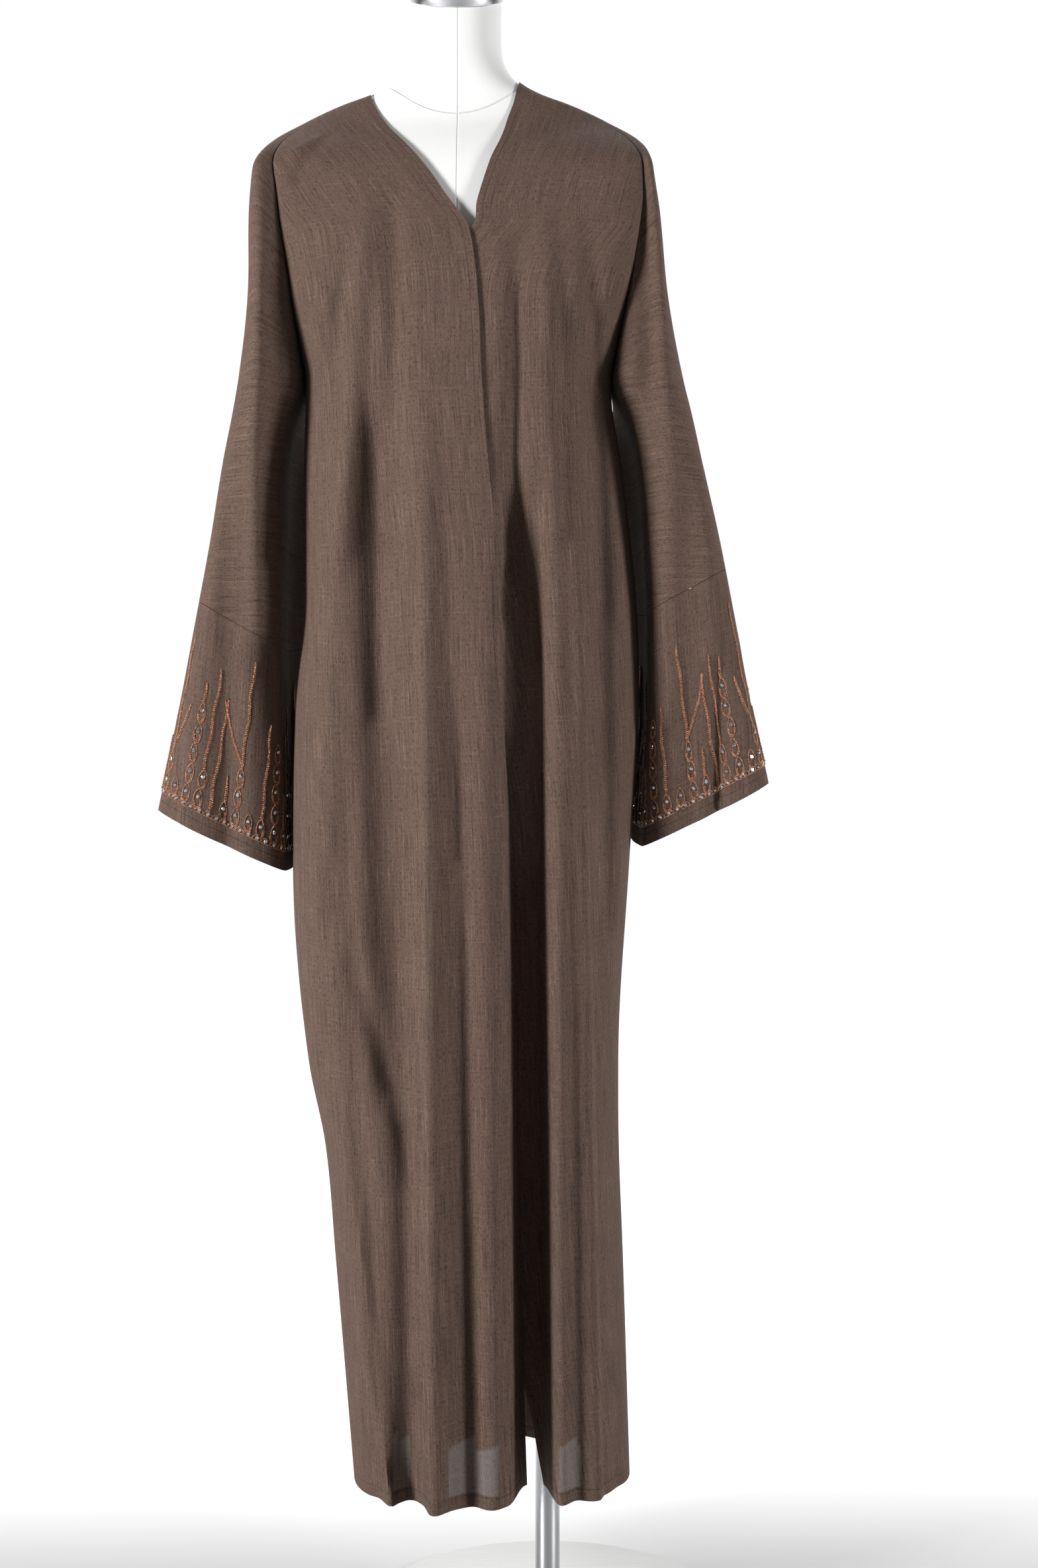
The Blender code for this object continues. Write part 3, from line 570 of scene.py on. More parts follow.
def pressDepth(face, place, z):
    total = 0.0
    for line in pressLines:
        if line["face"] != face:
            continue
        part = (place - line["startPlace"]) / (line["endPlace"] - line["startPlace"])
        fade = smooth(0, 0.2, part) * smooth(1, 0.8, part)
        off = (z - mix(line["startZ"], line["endZ"], part)) / line["wide"]
        total += line["deep"] * fade * math.exp(-off * off)
    return total


farOff = 1.0  # stands for a place that is nowhere near a hem or an edge
edgeColumns = 9


# Running length along a row of points
def lengths(points):
    sums = [0.0]
    for a, b in zip(points, points[1:]):
        sums.append(sums[-1] + (b - a).length)
    return sums


# A surface of named pieces that share their seam points, with the cloth's own flat coordinates
class Cloth:
    def __init__(self):
        self.points = []
        self.index = {}
        self.faces = {}
        self.charts = {}
        self.edges = {}

    def point(self, place):
        key = tuple(round(value, 6) for value in place)
        if key not in self.index:
            self.index[key] = len(self.points)
            self.points.append(Vector(place))
        return self.index[key]

    # A grid of points. Its chart runs along the rows and down, or turned where the weave runs across.
    # The second chart holds how far a place is from the hem, and from the neck or opening edge.
    def patch(self, piece, face, rows, columns, where, turned=False, start=0.0, middle=False, hem=False,
              edge=""):
        places = [[where(i, j) for j in range(columns + 1)] for i in range(rows + 1)]
        grid = [[self.point(place) for place in row] for row in places]
        plain["on"] = True
        bases = [[where(i, j) for j in range(columns + 1)] for i in range(rows + 1)]
        plain["on"] = False
        across = []
        for row in bases:
            sums = lengths(row)
            shift = sums[-1] / 2 if middle else -start
            across.append([value - shift for value in sums])
        # Columns of the body slide sideways from row to row, and that is no length of cloth
        counted = Vector((0 if edge == "side" or middle else 1, 1, 1))
        down = [[0.0] * (columns + 1)]
        for above, below in zip(bases, bases[1:]):
            steps = [((low - high) * counted).length for high, low in zip(above, below)]
            down.append([gone + step for gone, step in zip(down[-1], steps)])

        def edgeGap(i, j):
            if edge == "top":
                return down[i][j]
            if edge == "side" and j < edgeColumns:
                return sum((places[i][k + 1] - places[i][k]).length for k in range(j))
            return farOff

        gaps = [[(down[-1][j] - down[i][j] if hem else farOff, edgeGap(i, j)) for j in range(columns + 1)]
                for i in range(rows + 1)]
        quads, charts, edges = [], [], []
        facing = 0.0
        for i in range(rows):
            for j in range(columns):
                corners = [(i, j), (i, j + 1), (i + 1, j + 1), (i + 1, j)]
                quad = [grid[a][b] for a, b in corners]
                chart = [(across[a][b], down[a][b])[::-1 if turned else 1] for a, b in corners]
                keep = [n for n in range(4) if quad[n] != quad[n - 1]]
                if len({quad[n] for n in keep}) < 3:
                    continue
                quads.append([quad[n] for n in keep])
                charts.append([chart[n] for n in keep])
                edges.append([gaps[corners[n][0]][corners[n][1]] for n in keep])
                facing += self.faceNormal(quads[-1]).y
        if (facing < 0) != (face == "front"):
            quads, charts, edges = ([corners[::-1] for corners in kind] for kind in (quads, charts, edges))
        for kept, found in ((self.faces, quads), (self.charts, charts), (self.edges, edges)):
            kept.setdefault(piece, []).extend(found)

    def faceNormal(self, quad):
        corners = [self.points[k] for k in quad]
        return (corners[2] - corners[0]).cross(corners[-1] - corners[1])

    def normals(self):
        total = [Vector() for point in self.points]
        for quads in self.faces.values():
            for quad in quads:
                normal = self.faceNormal(quad).normalized()
                for k in quad:
                    total[k] += normal
        return [normal.normalized() for normal in total]


# The form as the cloth meets it: below its lower end the cloth comes in slowly
restForm = {"low": 0.64, "below": 0.166, "narrowing": 0.8, "power": 1.4, "reach": 0.09, "from": 0.66}


def restTree():
    heights = [mix(restForm["low"], shoulderLow, i / 100) for i in range(100)]
    heights += [mix(shoulderLow, neckFrontTop, i / 60) for i in range(61)]
    points, faces, sides = [], [], form["sides"]
    for z in heights:
        below = max(0.0, formBottom - z) / restForm["below"]
        size = 1 - restForm["narrowing"] * below ** restForm["power"]
        points += [Vector((place.x * size, place.y * size, place.z)) for place in formRing(z, sides)]
    for i in range(len(heights) - 1):
        for k in range(sides):
            n = (k + 1) % sides
            faces.append([i * sides + k, i * sides + n, (i + 1) * sides + n, (i + 1) * sides + k])
    return BVHTree.FromPolygons(points, faces)


# Cloth that comes too near the form is moved off it
def settle(cloth, distance):
    tree = restTree()
    for turn in range(3):
        for i, point in enumerate(cloth.points):
            near, normal, face, gap = tree.find_nearest(point)
            short = distance + restGap * smooth(shoulderLow, 1.38, point.z) - (point - near).dot(normal)
            if short > 0 and gap < restForm["reach"] and point.z > restForm["from"]:
                cloth.points[i] = point + normal * short


# Columns at even steps along the folded cloth, so that steep banks get as many as flat stretches
def evenColumns(where, last, count):
    fine = 4 * count
    gone = lengths([where(last * k / fine) for k in range(fine + 1)])
    result, k = [], 0
    for j in range(count + 1):
        target = gone[-1] * j / count
        while k < fine - 1 and gone[k + 1] < target:
            k += 1
        part = min(1.0, (target - gone[k]) / max(1e-9, gone[k + 1] - gone[k]))
        result.append(last * (k + part) / fine)
    result[0], result[-1] = 0.0, last
    return result


def placed(name, data):
    made = bpy.data.objects.new(name, data)
    bpy.context.scene.collection.objects.link(made)
    return made


# Wall of one piece, drawn back by half a seam gap where it meets another piece
def wallPiece(cloth, piece, normals, material):
    quads = cloth.faces[piece]
    mine = sorted({k for quad in quads for k in quad})
    others = {k for name, faces in cloth.faces.items() if name != piece for quad in faces for k in quad}
    neighbours = {k: set() for k in mine if k in others}
    for quad in quads:
        for k in quad:
            if k in neighbours:
                neighbours[k].update(quad)
    order = {k: n for n, k in enumerate(mine)}
    outer, inner = [], []
    for k in mine:
        place = cloth.points[k].copy()
        inside = [cloth.points[n] for n in neighbours.get(k, ()) if n not in others]
        if inside:
            pull = sum(inside, Vector()) / len(inside) - place
            pull -= normals[k] * pull.dot(normals[k])
            place += pull.normalized() * cloak["seamGap"] * 0.5
        outer.append(place + formShift)
        inner.append(place + formShift - normals[k] * cloak["wall"])
    count = len(mine)
    faces = [[order[k] for k in quad] for quad in quads]
    loose = {(face[n - 1], a): (i, n) for i, face in enumerate(faces) for n, a in enumerate(face)}
    loose = {pair: place for pair, place in loose.items() if pair[::-1] not in loose}
    rim = [[b, a, a + count, b + count] for a, b in loose]
    backs = [[k + count for k in reversed(face)] for face in faces]
    mesh = bpy.data.meshes.new(piece + "_cloth")
    mesh.from_pydata(outer + inner, [], faces + backs + rim)
    for name, charts in (("cloth", cloth.charts[piece]), ("edges", cloth.edges[piece])):
        rims = [[charts[i][n], charts[i][n - 1], charts[i][n - 1], charts[i][n]] for i, n in loose.values()]
        corners = charts + [chart[::-1] for chart in charts] + rims
        mesh.uv_layers.new(name=name).data.foreach_set(
            "uv", [value for chart in corners for pair in chart for value in pair])
    made = placed(piece + "_cloth", mesh)
    mesh.materials.append(material)
    mesh.shade_smooth()
    mesh.set_sharp_from_angle(angle=math.radians(60))
    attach(made, "root")
    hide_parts(piece)
    return made


# Heights of the rows above and below the underarm
def levels():
    coarse = [1.561, 1.557, 1.552, 1.546, 1.540, 1.532, 1.523, 1.513, 1.503, 1.490, 1.474, 1.455, 1.434]
    coarse += [1.412, 1.396, 1.380, 1.350, 1.318, 1.285, underarmZ]
    count = 4
    upper = [mix(a, b, k / count) for a, b in zip(coarse, coarse[1:]) for k in range(count)] + [underarmZ]
    rows = cloak["skirtDown"] // 1
    return upper, [mix(underarmZ, hemZ, (i + 1) / rows) for i in range(rows)]


def buildCloth():
    cloth = Cloth()
    part = 1
    upper, lower = levels()
    keys = ("bodyAcross", "sleeveAcross", "backAcross", "sleeveDown", "cuffDown")
    bodyAcross, sleeveAcross, backAcross, sleeveDown, cuffDown = (cloak[key] // part for key in keys)

    # Both parts of a sleeve half above its cuff
    def addSleeve(piece, side, face, top):
        cloth.patch(piece, face, len(top) - 1, sleeveAcross,
                    lambda i, j: shoulderPoint(side, face, j / sleeveAcross, top[i]), turned=True)
        cloth.patch(piece, face, sleeveDown, sleeveAcross,
                    lambda i, j: hangingPoint(side, face, j / sleeveAcross, i / sleeveDown, False),
                    turned=True)

    for side, start, piece in (("right", 1.552, "front_right"), ("left", 1.561, "front_left")):
        top = [z for z in upper if z <= start + 0.0001]
        heights = top + lower
        point = (lambda column, z: frontPoint("right", column, z)) if side == "right" else leftFrontPoint
        columns = [evenColumns(lambda column: point(column, z), float(bodyColumns), bodyAcross)
                   for z in heights]
        cloth.patch(piece, "front", len(heights) - 1, bodyAcross,
                    lambda i, j: point(columns[i][j], heights[i]), start=0.3, hem=True, edge="side")
        addSleeve(piece, side, "front", top)
    heights = upper + lower
    columns = [evenColumns(lambda part: backPoint(part, z), 1.0, backAcross) for z in heights]
    cloth.patch("back", "back", len(heights) - 1, backAcross,
                lambda i, j: backPoint(columns[i][j], heights[i]), middle=True, hem=True, edge="top")
    for side in ("right", "left"):
        addSleeve("back", side, "back", upper)
        for face in ("front", "back"):
            cloth.patch("cuff_" + side, face, cuffDown, sleeveAcross,
                        lambda i, j: hangingPoint(side, face, j / sleeveAcross, i / cuffDown, True),
                        start=0.7, hem=True)
    strip = [z for z in heights if placketLow < z < placketTop]
    across = cloak["placketAcross"]
    cloth.patch("under_placket", "front", len(strip) - 1, across,
                lambda i, j: placketPoint((overlapColumns - 1) * j / across, strip[i]))
    settle(cloth, clothWall + restGap * 0.7)
    return cloth


# Wraps a socket, so that sums on masks and patterns are written as Python expressions
class Wire:
    def __init__(self, tree, socket):
        self.tree = tree
        self.socket = socket

    def sum(self, operation, first, second=None, clamp=False):
        return self.tree.node("ShaderNodeMath", {"operation": operation, "use_clamp": clamp},
                              {0: first} if second is None else {0: first, 1: second})

    def __add__(self, other):
        return self.sum("ADD", self, other)

    def __radd__(self, other):
        return self.sum("ADD", other, self)

    def __sub__(self, other):
        return self.sum("SUBTRACT", self, other)

    def __rsub__(self, other):
        return self.sum("SUBTRACT", other, self)

    def __mul__(self, other):
        return self.sum("MULTIPLY", self, other)

    def __rmul__(self, other):
        return self.sum("MULTIPLY", other, self)

    def __lt__(self, other):
        return self.sum("LESS_THAN", self, other)

    def fraction(self):
        return self.sum("FRACT", self)

    def size(self):
        return self.sum("ABSOLUTE", self)

    def sine(self):
        return self.sum("SINE", self)

    def clamped(self):
        return self.sum("ADD", self, 0.0, True)

    # 1 inside the two values and 0 outside them, with soft ends
    def between(self, low, high):
        return self.tree.node("ShaderNodeMapRange", {"interpolation_type": "SMOOTHSTEP"},
                              {"Value": self, "From Min": low, "From Max": high})


# The nodes of one material or of the world
class Nodes:
    def __init__(self, tree):
        self.nodes = tree.nodes
        self.links = tree.links

    def feed(self, made, key, value):
        if isinstance(value, Wire):
            self.links.new(value.socket, made.inputs[key])
        else:
            made.inputs[key].default_value = value

    # Any node: its settings first, then the values or links of its sockets
    def node(self, kind, settings, sockets, output=0):
        made = self.nodes.new(kind)
        for key, value in settings.items():
            setattr(made, key, value)
        for key, value in sockets.items():
            self.feed(made, key, value)
        return Wire(self, made.outputs[output])

    def objectPlace(self):
        return self.node("ShaderNodeTexCoord", {}, {}, "Object")

    def chart(self, name):
        return self.node("ShaderNodeUVMap", {"uv_map": name}, {})

    def parts(self, place):
        return [self.node("ShaderNodeSeparateXYZ", {}, {0: place}, axis) for axis in range(3)]

    def joined(self, x, y, z=0.0):
        return self.node("ShaderNodeCombineXYZ", {}, {0: x, 1: y, 2: z})

    def noise(self, place, scale=1.0, detail=2.0, rough=0.5):
        return self.node("ShaderNodeTexNoise", {},
                         {"Vector": place, "Scale": scale, "Detail": detail, "Roughness": rough})

    def blend(self, factor, first, second):
        first, second = ((*value, 1) if isinstance(value, tuple) else value for value in (first, second))
        return self.node("ShaderNodeMix", {"data_type": "RGBA"}, {0: factor, 6: first, 7: second}, 2)

    def bump(self, height, distance, strength=1.0, normal=None):
        sockets = {"Height": height, "Distance": distance, "Strength": strength}
        if normal is not None:
            sockets["Normal"] = normal
        return self.node("ShaderNodeBump", {}, sockets)


class Finish(Nodes):
    def __init__(self, name, **sockets):
        self.material = bpy.data.materials.new(name)
        self.material.use_nodes = True
        super().__init__(self.material.node_tree)
        self.shader = self.nodes["Principled BSDF"]
        for socket, value in sockets.items():
            self.set(socket.replace("_", " "), value)

    def set(self, name, value):
        self.feed(self.shader, name, value)


clothLook = {"base": (0.112, 0.074, 0.057), "dark": (0.030, 0.024, 0.024), "copper": (0.235, 0.112, 0.062),
             "blueGrey": (0.115, 0.122, 0.140), "yarn": 0.00042, "roughness": 0.88, "slubs": 0.80,
             "hemLine": 0.0115, "edgeLine": 0.0070, "stitch": 0.0031, "thread": (0.050, 0.036, 0.030)}
# Painted backlight of the thin places of the fronts: where they lie across, the lighter painted tone, and
# the steps and slants of their upper edges
paintedBacklightLook = {"places": ((-0.153, -0.138), (-0.098, -0.049), (0.010, 0.032)), "tone": (0.210, 0.198, 0.190),
            "soft": 0.002, "slantFrom": -0.0975, "slantPitch": 39.7, "slant": 0.009, "stepAt": -0.0723,
            "step": 0.006}


def clothFinish():
    look = clothLook
    finish = Finish("brown_melange_wool", Roughness=look["roughness"], Sheen_Weight=0.05,
                    Sheen_Roughness=0.4, Sheen_Tint=(0.72, 0.66, 0.62, 1), Specular_IOR_Level=0.1)
    across, down, unused = finish.parts(finish.chart("cloth"))
    hemGap, edgeGap, unused = finish.parts(finish.chart("edges"))

    # Noise with so many specks a metre across and down the cloth
    def specks(acrossScale, downScale, place, detail, rough=0.5):
        where = finish.joined(across * acrossScale, down * downScale, place)
        return finish.noise(where, 1.0, detail, rough)

    # Yarns of uneven colour: specks along each yarn, and slubs, which are long down and shorter across
    fine = 1 / look["yarn"]
    warpSpeck = specks(fine, 240.0, 0.0, 1.0)
    weftSpeck = specks(300.0, fine, 5.0, 1.0)
    cool = specks(1300.0, 420.0, 9.0, 1.0)
    slub = specks(820.0, 22.0, 0.0, 1.5, 0.6)
    wideSlub = specks(230.0, 9.0, 3.0, 2.0, 0.6)
    crossSlub = specks(34.0, 760.0, 6.0, 1.5, 0.6)
    tone = finish.blend(warpSpeck.between(0.50, 0.68) * 0.80, look["base"], look["dark"])
    tone = finish.blend(weftSpeck.between(0.54, 0.72) * 0.62, tone, look["copper"])
    tone = finish.blend(cool.between(0.56, 0.74) * 0.55, tone, look["blueGrey"])
    light = slub.between(0.54, 0.72) * 0.9 + crossSlub.between(0.56, 0.74) * 0.7
    light = light - slub.between(0.46, 0.30) * 0.7
    shade = 1 + (light + (wideSlub - 0.5) * 1.1) * look["slubs"] * 0.55
    tone = finish.node("ShaderNodeVectorMath", {"operation": "SCALE"}, {0: tone, "Scale": shade})
    # Painted backlight: thin places near the hem get a lighter colour that stands in for the light behind
    # showing through, with slanting upper edges
    aside, behind, unused = finish.parts(finish.objectPlace())
    paintedBacklight, soft = 0.0, paintedBacklightLook["soft"]
    for first, last in paintedBacklightLook["places"]:
        inside = aside.between(first - soft, first + soft) * aside.between(last + soft, last - soft)
        paintedBacklight = inside + paintedBacklight
    slant = ((aside - paintedBacklightLook["slantFrom"]) * paintedBacklightLook["slantPitch"]).fraction() * paintedBacklightLook["slant"]
    top = hemGap - slant - (aside < paintedBacklightLook["stepAt"]) * paintedBacklightLook["step"]
    paintedBacklight = paintedBacklight * behind.between(0.0, -0.04) * hemGap.between(0.0125, 0.0150) * top.between(0.0575, 0.0525)
    speck = 0.30 + wideSlub * 0.5 + warpSpeck.between(0.62, 0.46) * 0.35
    # Painted backlight: the cloth's base colour is mixed towards a lighter grey here, and no light passes
    # through the cloth
    tone = finish.blend((paintedBacklight * speck * 0.62).clamped(), tone, paintedBacklightLook["tone"])
    # Turned-up hem and edge facing: a raised band that ends at a line of stitches
    thread = 0.0
    step = 0.0
    for gap, line, run in ((hemGap, look["hemLine"], across), (edgeGap, look["edgeLine"], down)):
        near = 1 - (gap - line).size().between(0.0002, 0.0007)
        dash = (run * (1 / look["stitch"])).fraction().between(0.16, 0.30)
        thread = near * dash + thread
        step = (1 - gap.between(line - 0.0006, line + 0.0010)) * 0.35 - near * 0.5 + step
    finish.set("Base Color", finish.blend(thread.clamped() * 0.45, tone, look["thread"]))
    wave = math.pi / look["yarn"]
    weave = (across * wave).sine().size() * (down * wave).sine().size()
    grain = finish.bump(weave * 0.6 + warpSpeck * 0.5 + weftSpeck * 0.4, 0.00016, 0.75)
    ribs = finish.bump(specks(380.0, 26.0, 2.0, 3.0), 0.0010, 0.35, grain)
    finish.set("Normal", finish.bump(step, 0.0007, 1.0, ribs))
    return finish.material


def coverFinish():
    finish = Finish("white_jersey", Roughness=0.78, Sheen_Weight=0.15, Sheen_Roughness=0.5,
                    Specular_IOR_Level=0.3)
    x, y, z = finish.parts(finish.objectPlace())
    u = x - formAxisX
    seamFront = (u - 0.0022).size()
    neckSeam = (z - 1.5205 - u * u * 7.3).size()
    front = y < 0.0
    seam = (1 - seamFront.between(0.0002, 0.0011)) * front + (1 - neckSeam.between(0.0002, 0.0011))
    seam = seam.clamped()
    pucker = finish.noise(finish.joined(u * 60.0, z * 240.0)) * (1 - seamFront.between(0.002, 0.010))
    knit = finish.noise(finish.joined(x * 2600.0, y * 2600.0, z * 900.0))
    tone = finish.blend(seam * 0.20, (0.82, 0.82, 0.81), (0.46, 0.46, 0.47))
    finish.set("Base Color", finish.blend(knit.between(0.35, 0.8) * 0.10, tone, (0.66, 0.66, 0.67)))
    fine = finish.bump(knit, 0.00012, 0.5)
    finish.set("Normal", finish.bump(pucker * 0.35 - seam, 0.0009, 0.8, fine))
    return finish.material


def chromeFinish():
    finish = Finish("chrome", Base_Color=(0.76, 0.77, 0.79, 1), Metallic=1.0)
    haze = finish.noise(finish.objectPlace(), 34.0, 3.0)
    finish.set("Roughness", 0.20 + haze * 0.10)
    return finish.material


def steelFinish():
    finish = Finish("polished_steel", Base_Color=(0.60, 0.61, 0.63, 1), Metallic=1.0)
    x, y, z = finish.parts(finish.objectPlace())
    lines = finish.noise(finish.joined(x * 12.0, y * 12.0, z * 1600.0), 1.0, 3.0, 0.6)
    finish.set("Roughness", 0.17 + lines * 0.14)
    finish.set("Normal", finish.bump(lines, 0.00006, 0.35))
    return finish.material


def plateFinish():
    finish = Finish("pale_brushed_plate", Metallic=0.35, Specular_IOR_Level=0.5)
    x, y, z = finish.parts(finish.objectPlace())
    lines = finish.noise(finish.joined(x * 24.0, y * 2400.0, z * 2400.0), 1.0, 3.0, 0.65)
    cloud = finish.noise(finish.objectPlace(), 9.0, 3.0)
    tone = finish.blend(lines.between(0.3, 0.75), (0.56, 0.56, 0.555), (0.68, 0.68, 0.675))
    finish.set("Base Color", finish.blend(cloud * 0.18, tone, (0.48, 0.48, 0.48)))
    finish.set("Roughness", 0.34 + lines * 0.16 + cloud * 0.08)
    finish.set("Normal", finish.bump(lines, 0.00005, 0.5))
    return finish.material


def beadFinish():
    finish = Finish("copper_glass_bead", Metallic=0.62, Roughness=0.30, Coat_Weight=0.3)
    spots = finish.noise(finish.objectPlace(), 900.0, 1.0).between(0.38, 0.62)
    finish.set("Base Color", finish.blend(spots, (0.22, 0.088, 0.045), (0.64, 0.320, 0.190)))
    return finish.material


def crystalFinish():
    finish = Finish("silver_foiled_crystal", Metallic=0.85, Coat_Weight=0.6)
    spots = finish.noise(finish.objectPlace(), 420.0, 1.0)
    tone = finish.blend(spots.between(0.36, 0.64), (0.42, 0.44, 0.48), (0.88, 0.89, 0.92))
    finish.set("Base Color", tone)
    finish.set("Roughness", 0.06 + spots * 0.10)
    return finish.material


# A primitive with its place already in its mesh
def primitive(name, add, **settings):
    bpy.ops.object.select_all(action="DESELECT")
    add(**settings)
    bpy.ops.object.transform_apply(location=True, rotation=True, scale=True)
    made = bpy.context.object
    made.name = name
    made.data.name = name
    return made


def settled(made, material, slotName, *nodes, sharp=40):
    bpy.ops.object.select_all(action="DESELECT")
    bpy.context.view_layer.objects.active = made
    made.select_set(True)
    bpy.ops.object.transform_apply(location=True, rotation=True, scale=True)
    bpy.ops.object.shade_smooth_by_angle(angle=math.radians(sharp))
    made.data.materials.clear()
    made.data.materials.append(material)
    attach(made, "root")
    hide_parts(*nodes)


# Starts edit mode with the faces or edges selected that pass a test
def selectWhere(made, test, mode):
    bpy.ops.object.mode_set(mode="EDIT")
    bpy.ops.mesh.select_mode(type=mode)
    bpy.ops.mesh.select_all(action="DESELECT")
    bpy.ops.object.mode_set(mode="OBJECT")
    for thing in made.data.edges if mode == "EDGE" else made.data.polygons:
        thing.select = test(thing)
    bpy.ops.object.mode_set(mode="EDIT")


# The flat edges at the rim of a round piece get a bevel
def bevelRim(made, radius, offset, segments, profile=0.5):
    def atRim(edge):
        ends = [made.data.vertices[k].co for k in edge.vertices]
        outer = all(math.hypot(end.x, end.y) > radius - 0.0001 for end in ends)
        return outer and abs(ends[0].z - ends[1].z) < 0.0001

    selectWhere(made, atRim, "EDGE")
    bpy.ops.mesh.bevel(offset=offset, segments=segments, profile=profile)
    bpy.ops.object.mode_set(mode="OBJECT")


# Faces that look up are inset and lifted step by step
def insetTop(made, steps):
    selectWhere(made, lambda face: face.normal.z > 0.9, "FACE")
    for inset, rise in steps:
        bpy.ops.mesh.inset(thickness=inset)
        bpy.ops.transform.translate(value=(0, 0, rise))


def facesOutward():
    bpy.ops.mesh.select_all(action="SELECT")
    bpy.ops.mesh.normals_make_consistent(inside=False)
    bpy.ops.object.mode_set(mode="OBJECT")


# Dress form: a ring drawn up the body, each level then fitted to the form's own widths
def buildForm(material):
    sides = form["sides"]
    count = form["levels"] // 1
    heights = [mix(formBottom, shoulderLow, i / (count * 0.6)) for i in range(int(count * 0.6))]
    upper = count - len(heights)
    heights += [mix(shoulderLow, neckFrontTop, i / (upper - 1)) for i in range(upper)]
    made = primitive("dress_form_cover", bpy.ops.mesh.primitive_circle_add, vertices=sides, radius=0.1,
                     fill_type="NGON", location=(formAxisX, 0, heights[0]))
    bpy.ops.object.mode_set(mode="EDIT")
    bpy.ops.mesh.select_mode(type="FACE")
    bpy.ops.mesh.select_all(action="SELECT")
    for low, high in zip(heights, heights[1:]):
        bpy.ops.mesh.extrude_region_move(TRANSFORM_OT_translate={"value": (0, 0, high - low)})
    bpy.ops.object.mode_set(mode="OBJECT")
    rings = [formRing(z, sides) for z in heights]
    for vertex in made.data.vertices:
        level = min(range(len(heights)), key=lambda n: abs(heights[n] - vertex.co.z))
        angle = math.atan2(vertex.co.x - formAxisX, -vertex.co.y)
        vertex.co = rings[level][round(angle / (2 * math.pi) * sides) % sides] + formShift
    bpy.ops.object.mode_set(mode="EDIT")
    facesOutward()
    cutSocket(made)
    settled(made, material, "form_cover", "dress_form_torso")


# The hole that the pole's head sits in
def cutSocket(made):
    cutter = primitive("socket_cutter", bpy.ops.mesh.primitive_cylinder_add, vertices=48,
                       radius=poleRadius + stand["play"], depth=stand["socketDeep"] * 2,
                       location=(0, 0, formBottom))
    bpy.ops.object.select_all(action="DESELECT")
    bpy.context.view_layer.objects.active = made
    made.select_set(True)
    cut = made.modifiers.new("Socket", "BOOLEAN")
    cut.operation = "DIFFERENCE"
    cut.solver = "EXACT"
    cut.object = cutter
    bpy.ops.object.modifier_apply(modifier=cut.name)
    bpy.data.objects.remove(cutter)


def buildCap(material):
    made = primitive("neck_cap_chrome", bpy.ops.mesh.primitive_cylinder_add, vertices=96,
                     radius=cap["radius"], depth=cap["thick"], location=(0, 0, cap["thick"] / 2))
    insetTop(made, cap["steps"])
    bevelRim(made, cap["radius"], cap["rim"], 3, 0.6)
    tilt = math.atan(neckTilt)
    made.rotation_euler = (tilt, 0, 0)
    made.location = (formAxisX, -cap["gap"] * math.sin(tilt),
                     neckFrontTop + neckFrontDeep * neckTilt + cap["gap"] * math.cos(tilt))
    settled(made, material, "cap_chrome", "neck_cap", sharp=30)


def buildStand(steel, platePaint):
    bottom = plateTopZ + stand["play"]
    plate = primitive("foot_plate_disc", bpy.ops.mesh.primitive_cylinder_add, vertices=stand["sides"],
                      radius=plateRadius, depth=plateTopZ, location=(0, 0, plateTopZ / 2))
    bevelRim(plate, plateRadius, stand["plateEdge"], 4)
    settled(plate, platePaint, "plate_paint", "foot_plate")

    pole = primitive("pole_tube", bpy.ops.mesh.primitive_cylinder_add, vertices=64, radius=poleRadius,
                     depth=poleTopZ - bottom, location=(0, 0, (poleTopZ + bottom) / 2))
    bevelRim(pole, poleRadius, 0.0008, 2)
    settled(pole, steel, "stand_steel", "pole")

    # The collar's outline, each row with its radius and its height above the plate
    bore, wide, tall = poleRadius + stand["play"], stand["collarRadius"], stand["collarTall"]
    rows = ((wide - 0.0006, 0.0), (wide, 0.0006), (wide, 0.0036), (wide * 0.92, 0.0062),
            (wide * 0.78, 0.0094), (wide * 0.70, 0.0140), (wide * 0.62, tall - 0.0012),
            (wide * 0.60, tall), (bore, tall))
    collar = primitive("pole_collar_ring", bpy.ops.mesh.primitive_circle_add, vertices=96, radius=bore,
                       location=(0, 0, bottom))
    bpy.ops.object.mode_set(mode="EDIT")
    bpy.ops.mesh.select_all(action="SELECT")
    size, height = bore, 0.0
    for radius, level in rows:
        bpy.ops.mesh.extrude_edges_move(TRANSFORM_OT_translate={"value": (0, 0, level - height)})
        scale = radius / size
        bpy.ops.transform.resize(value=(scale, scale, 1), center_override=(0, 0, bottom + level))
        size, height = radius, level
    bpy.ops.mesh.select_all(action="DESELECT")
    bpy.ops.mesh.select_non_manifold()
    bpy.ops.mesh.bridge_edge_loops()
    facesOutward()
    settled(collar, steel, "stand_steel", "pole_collar", sharp=50)


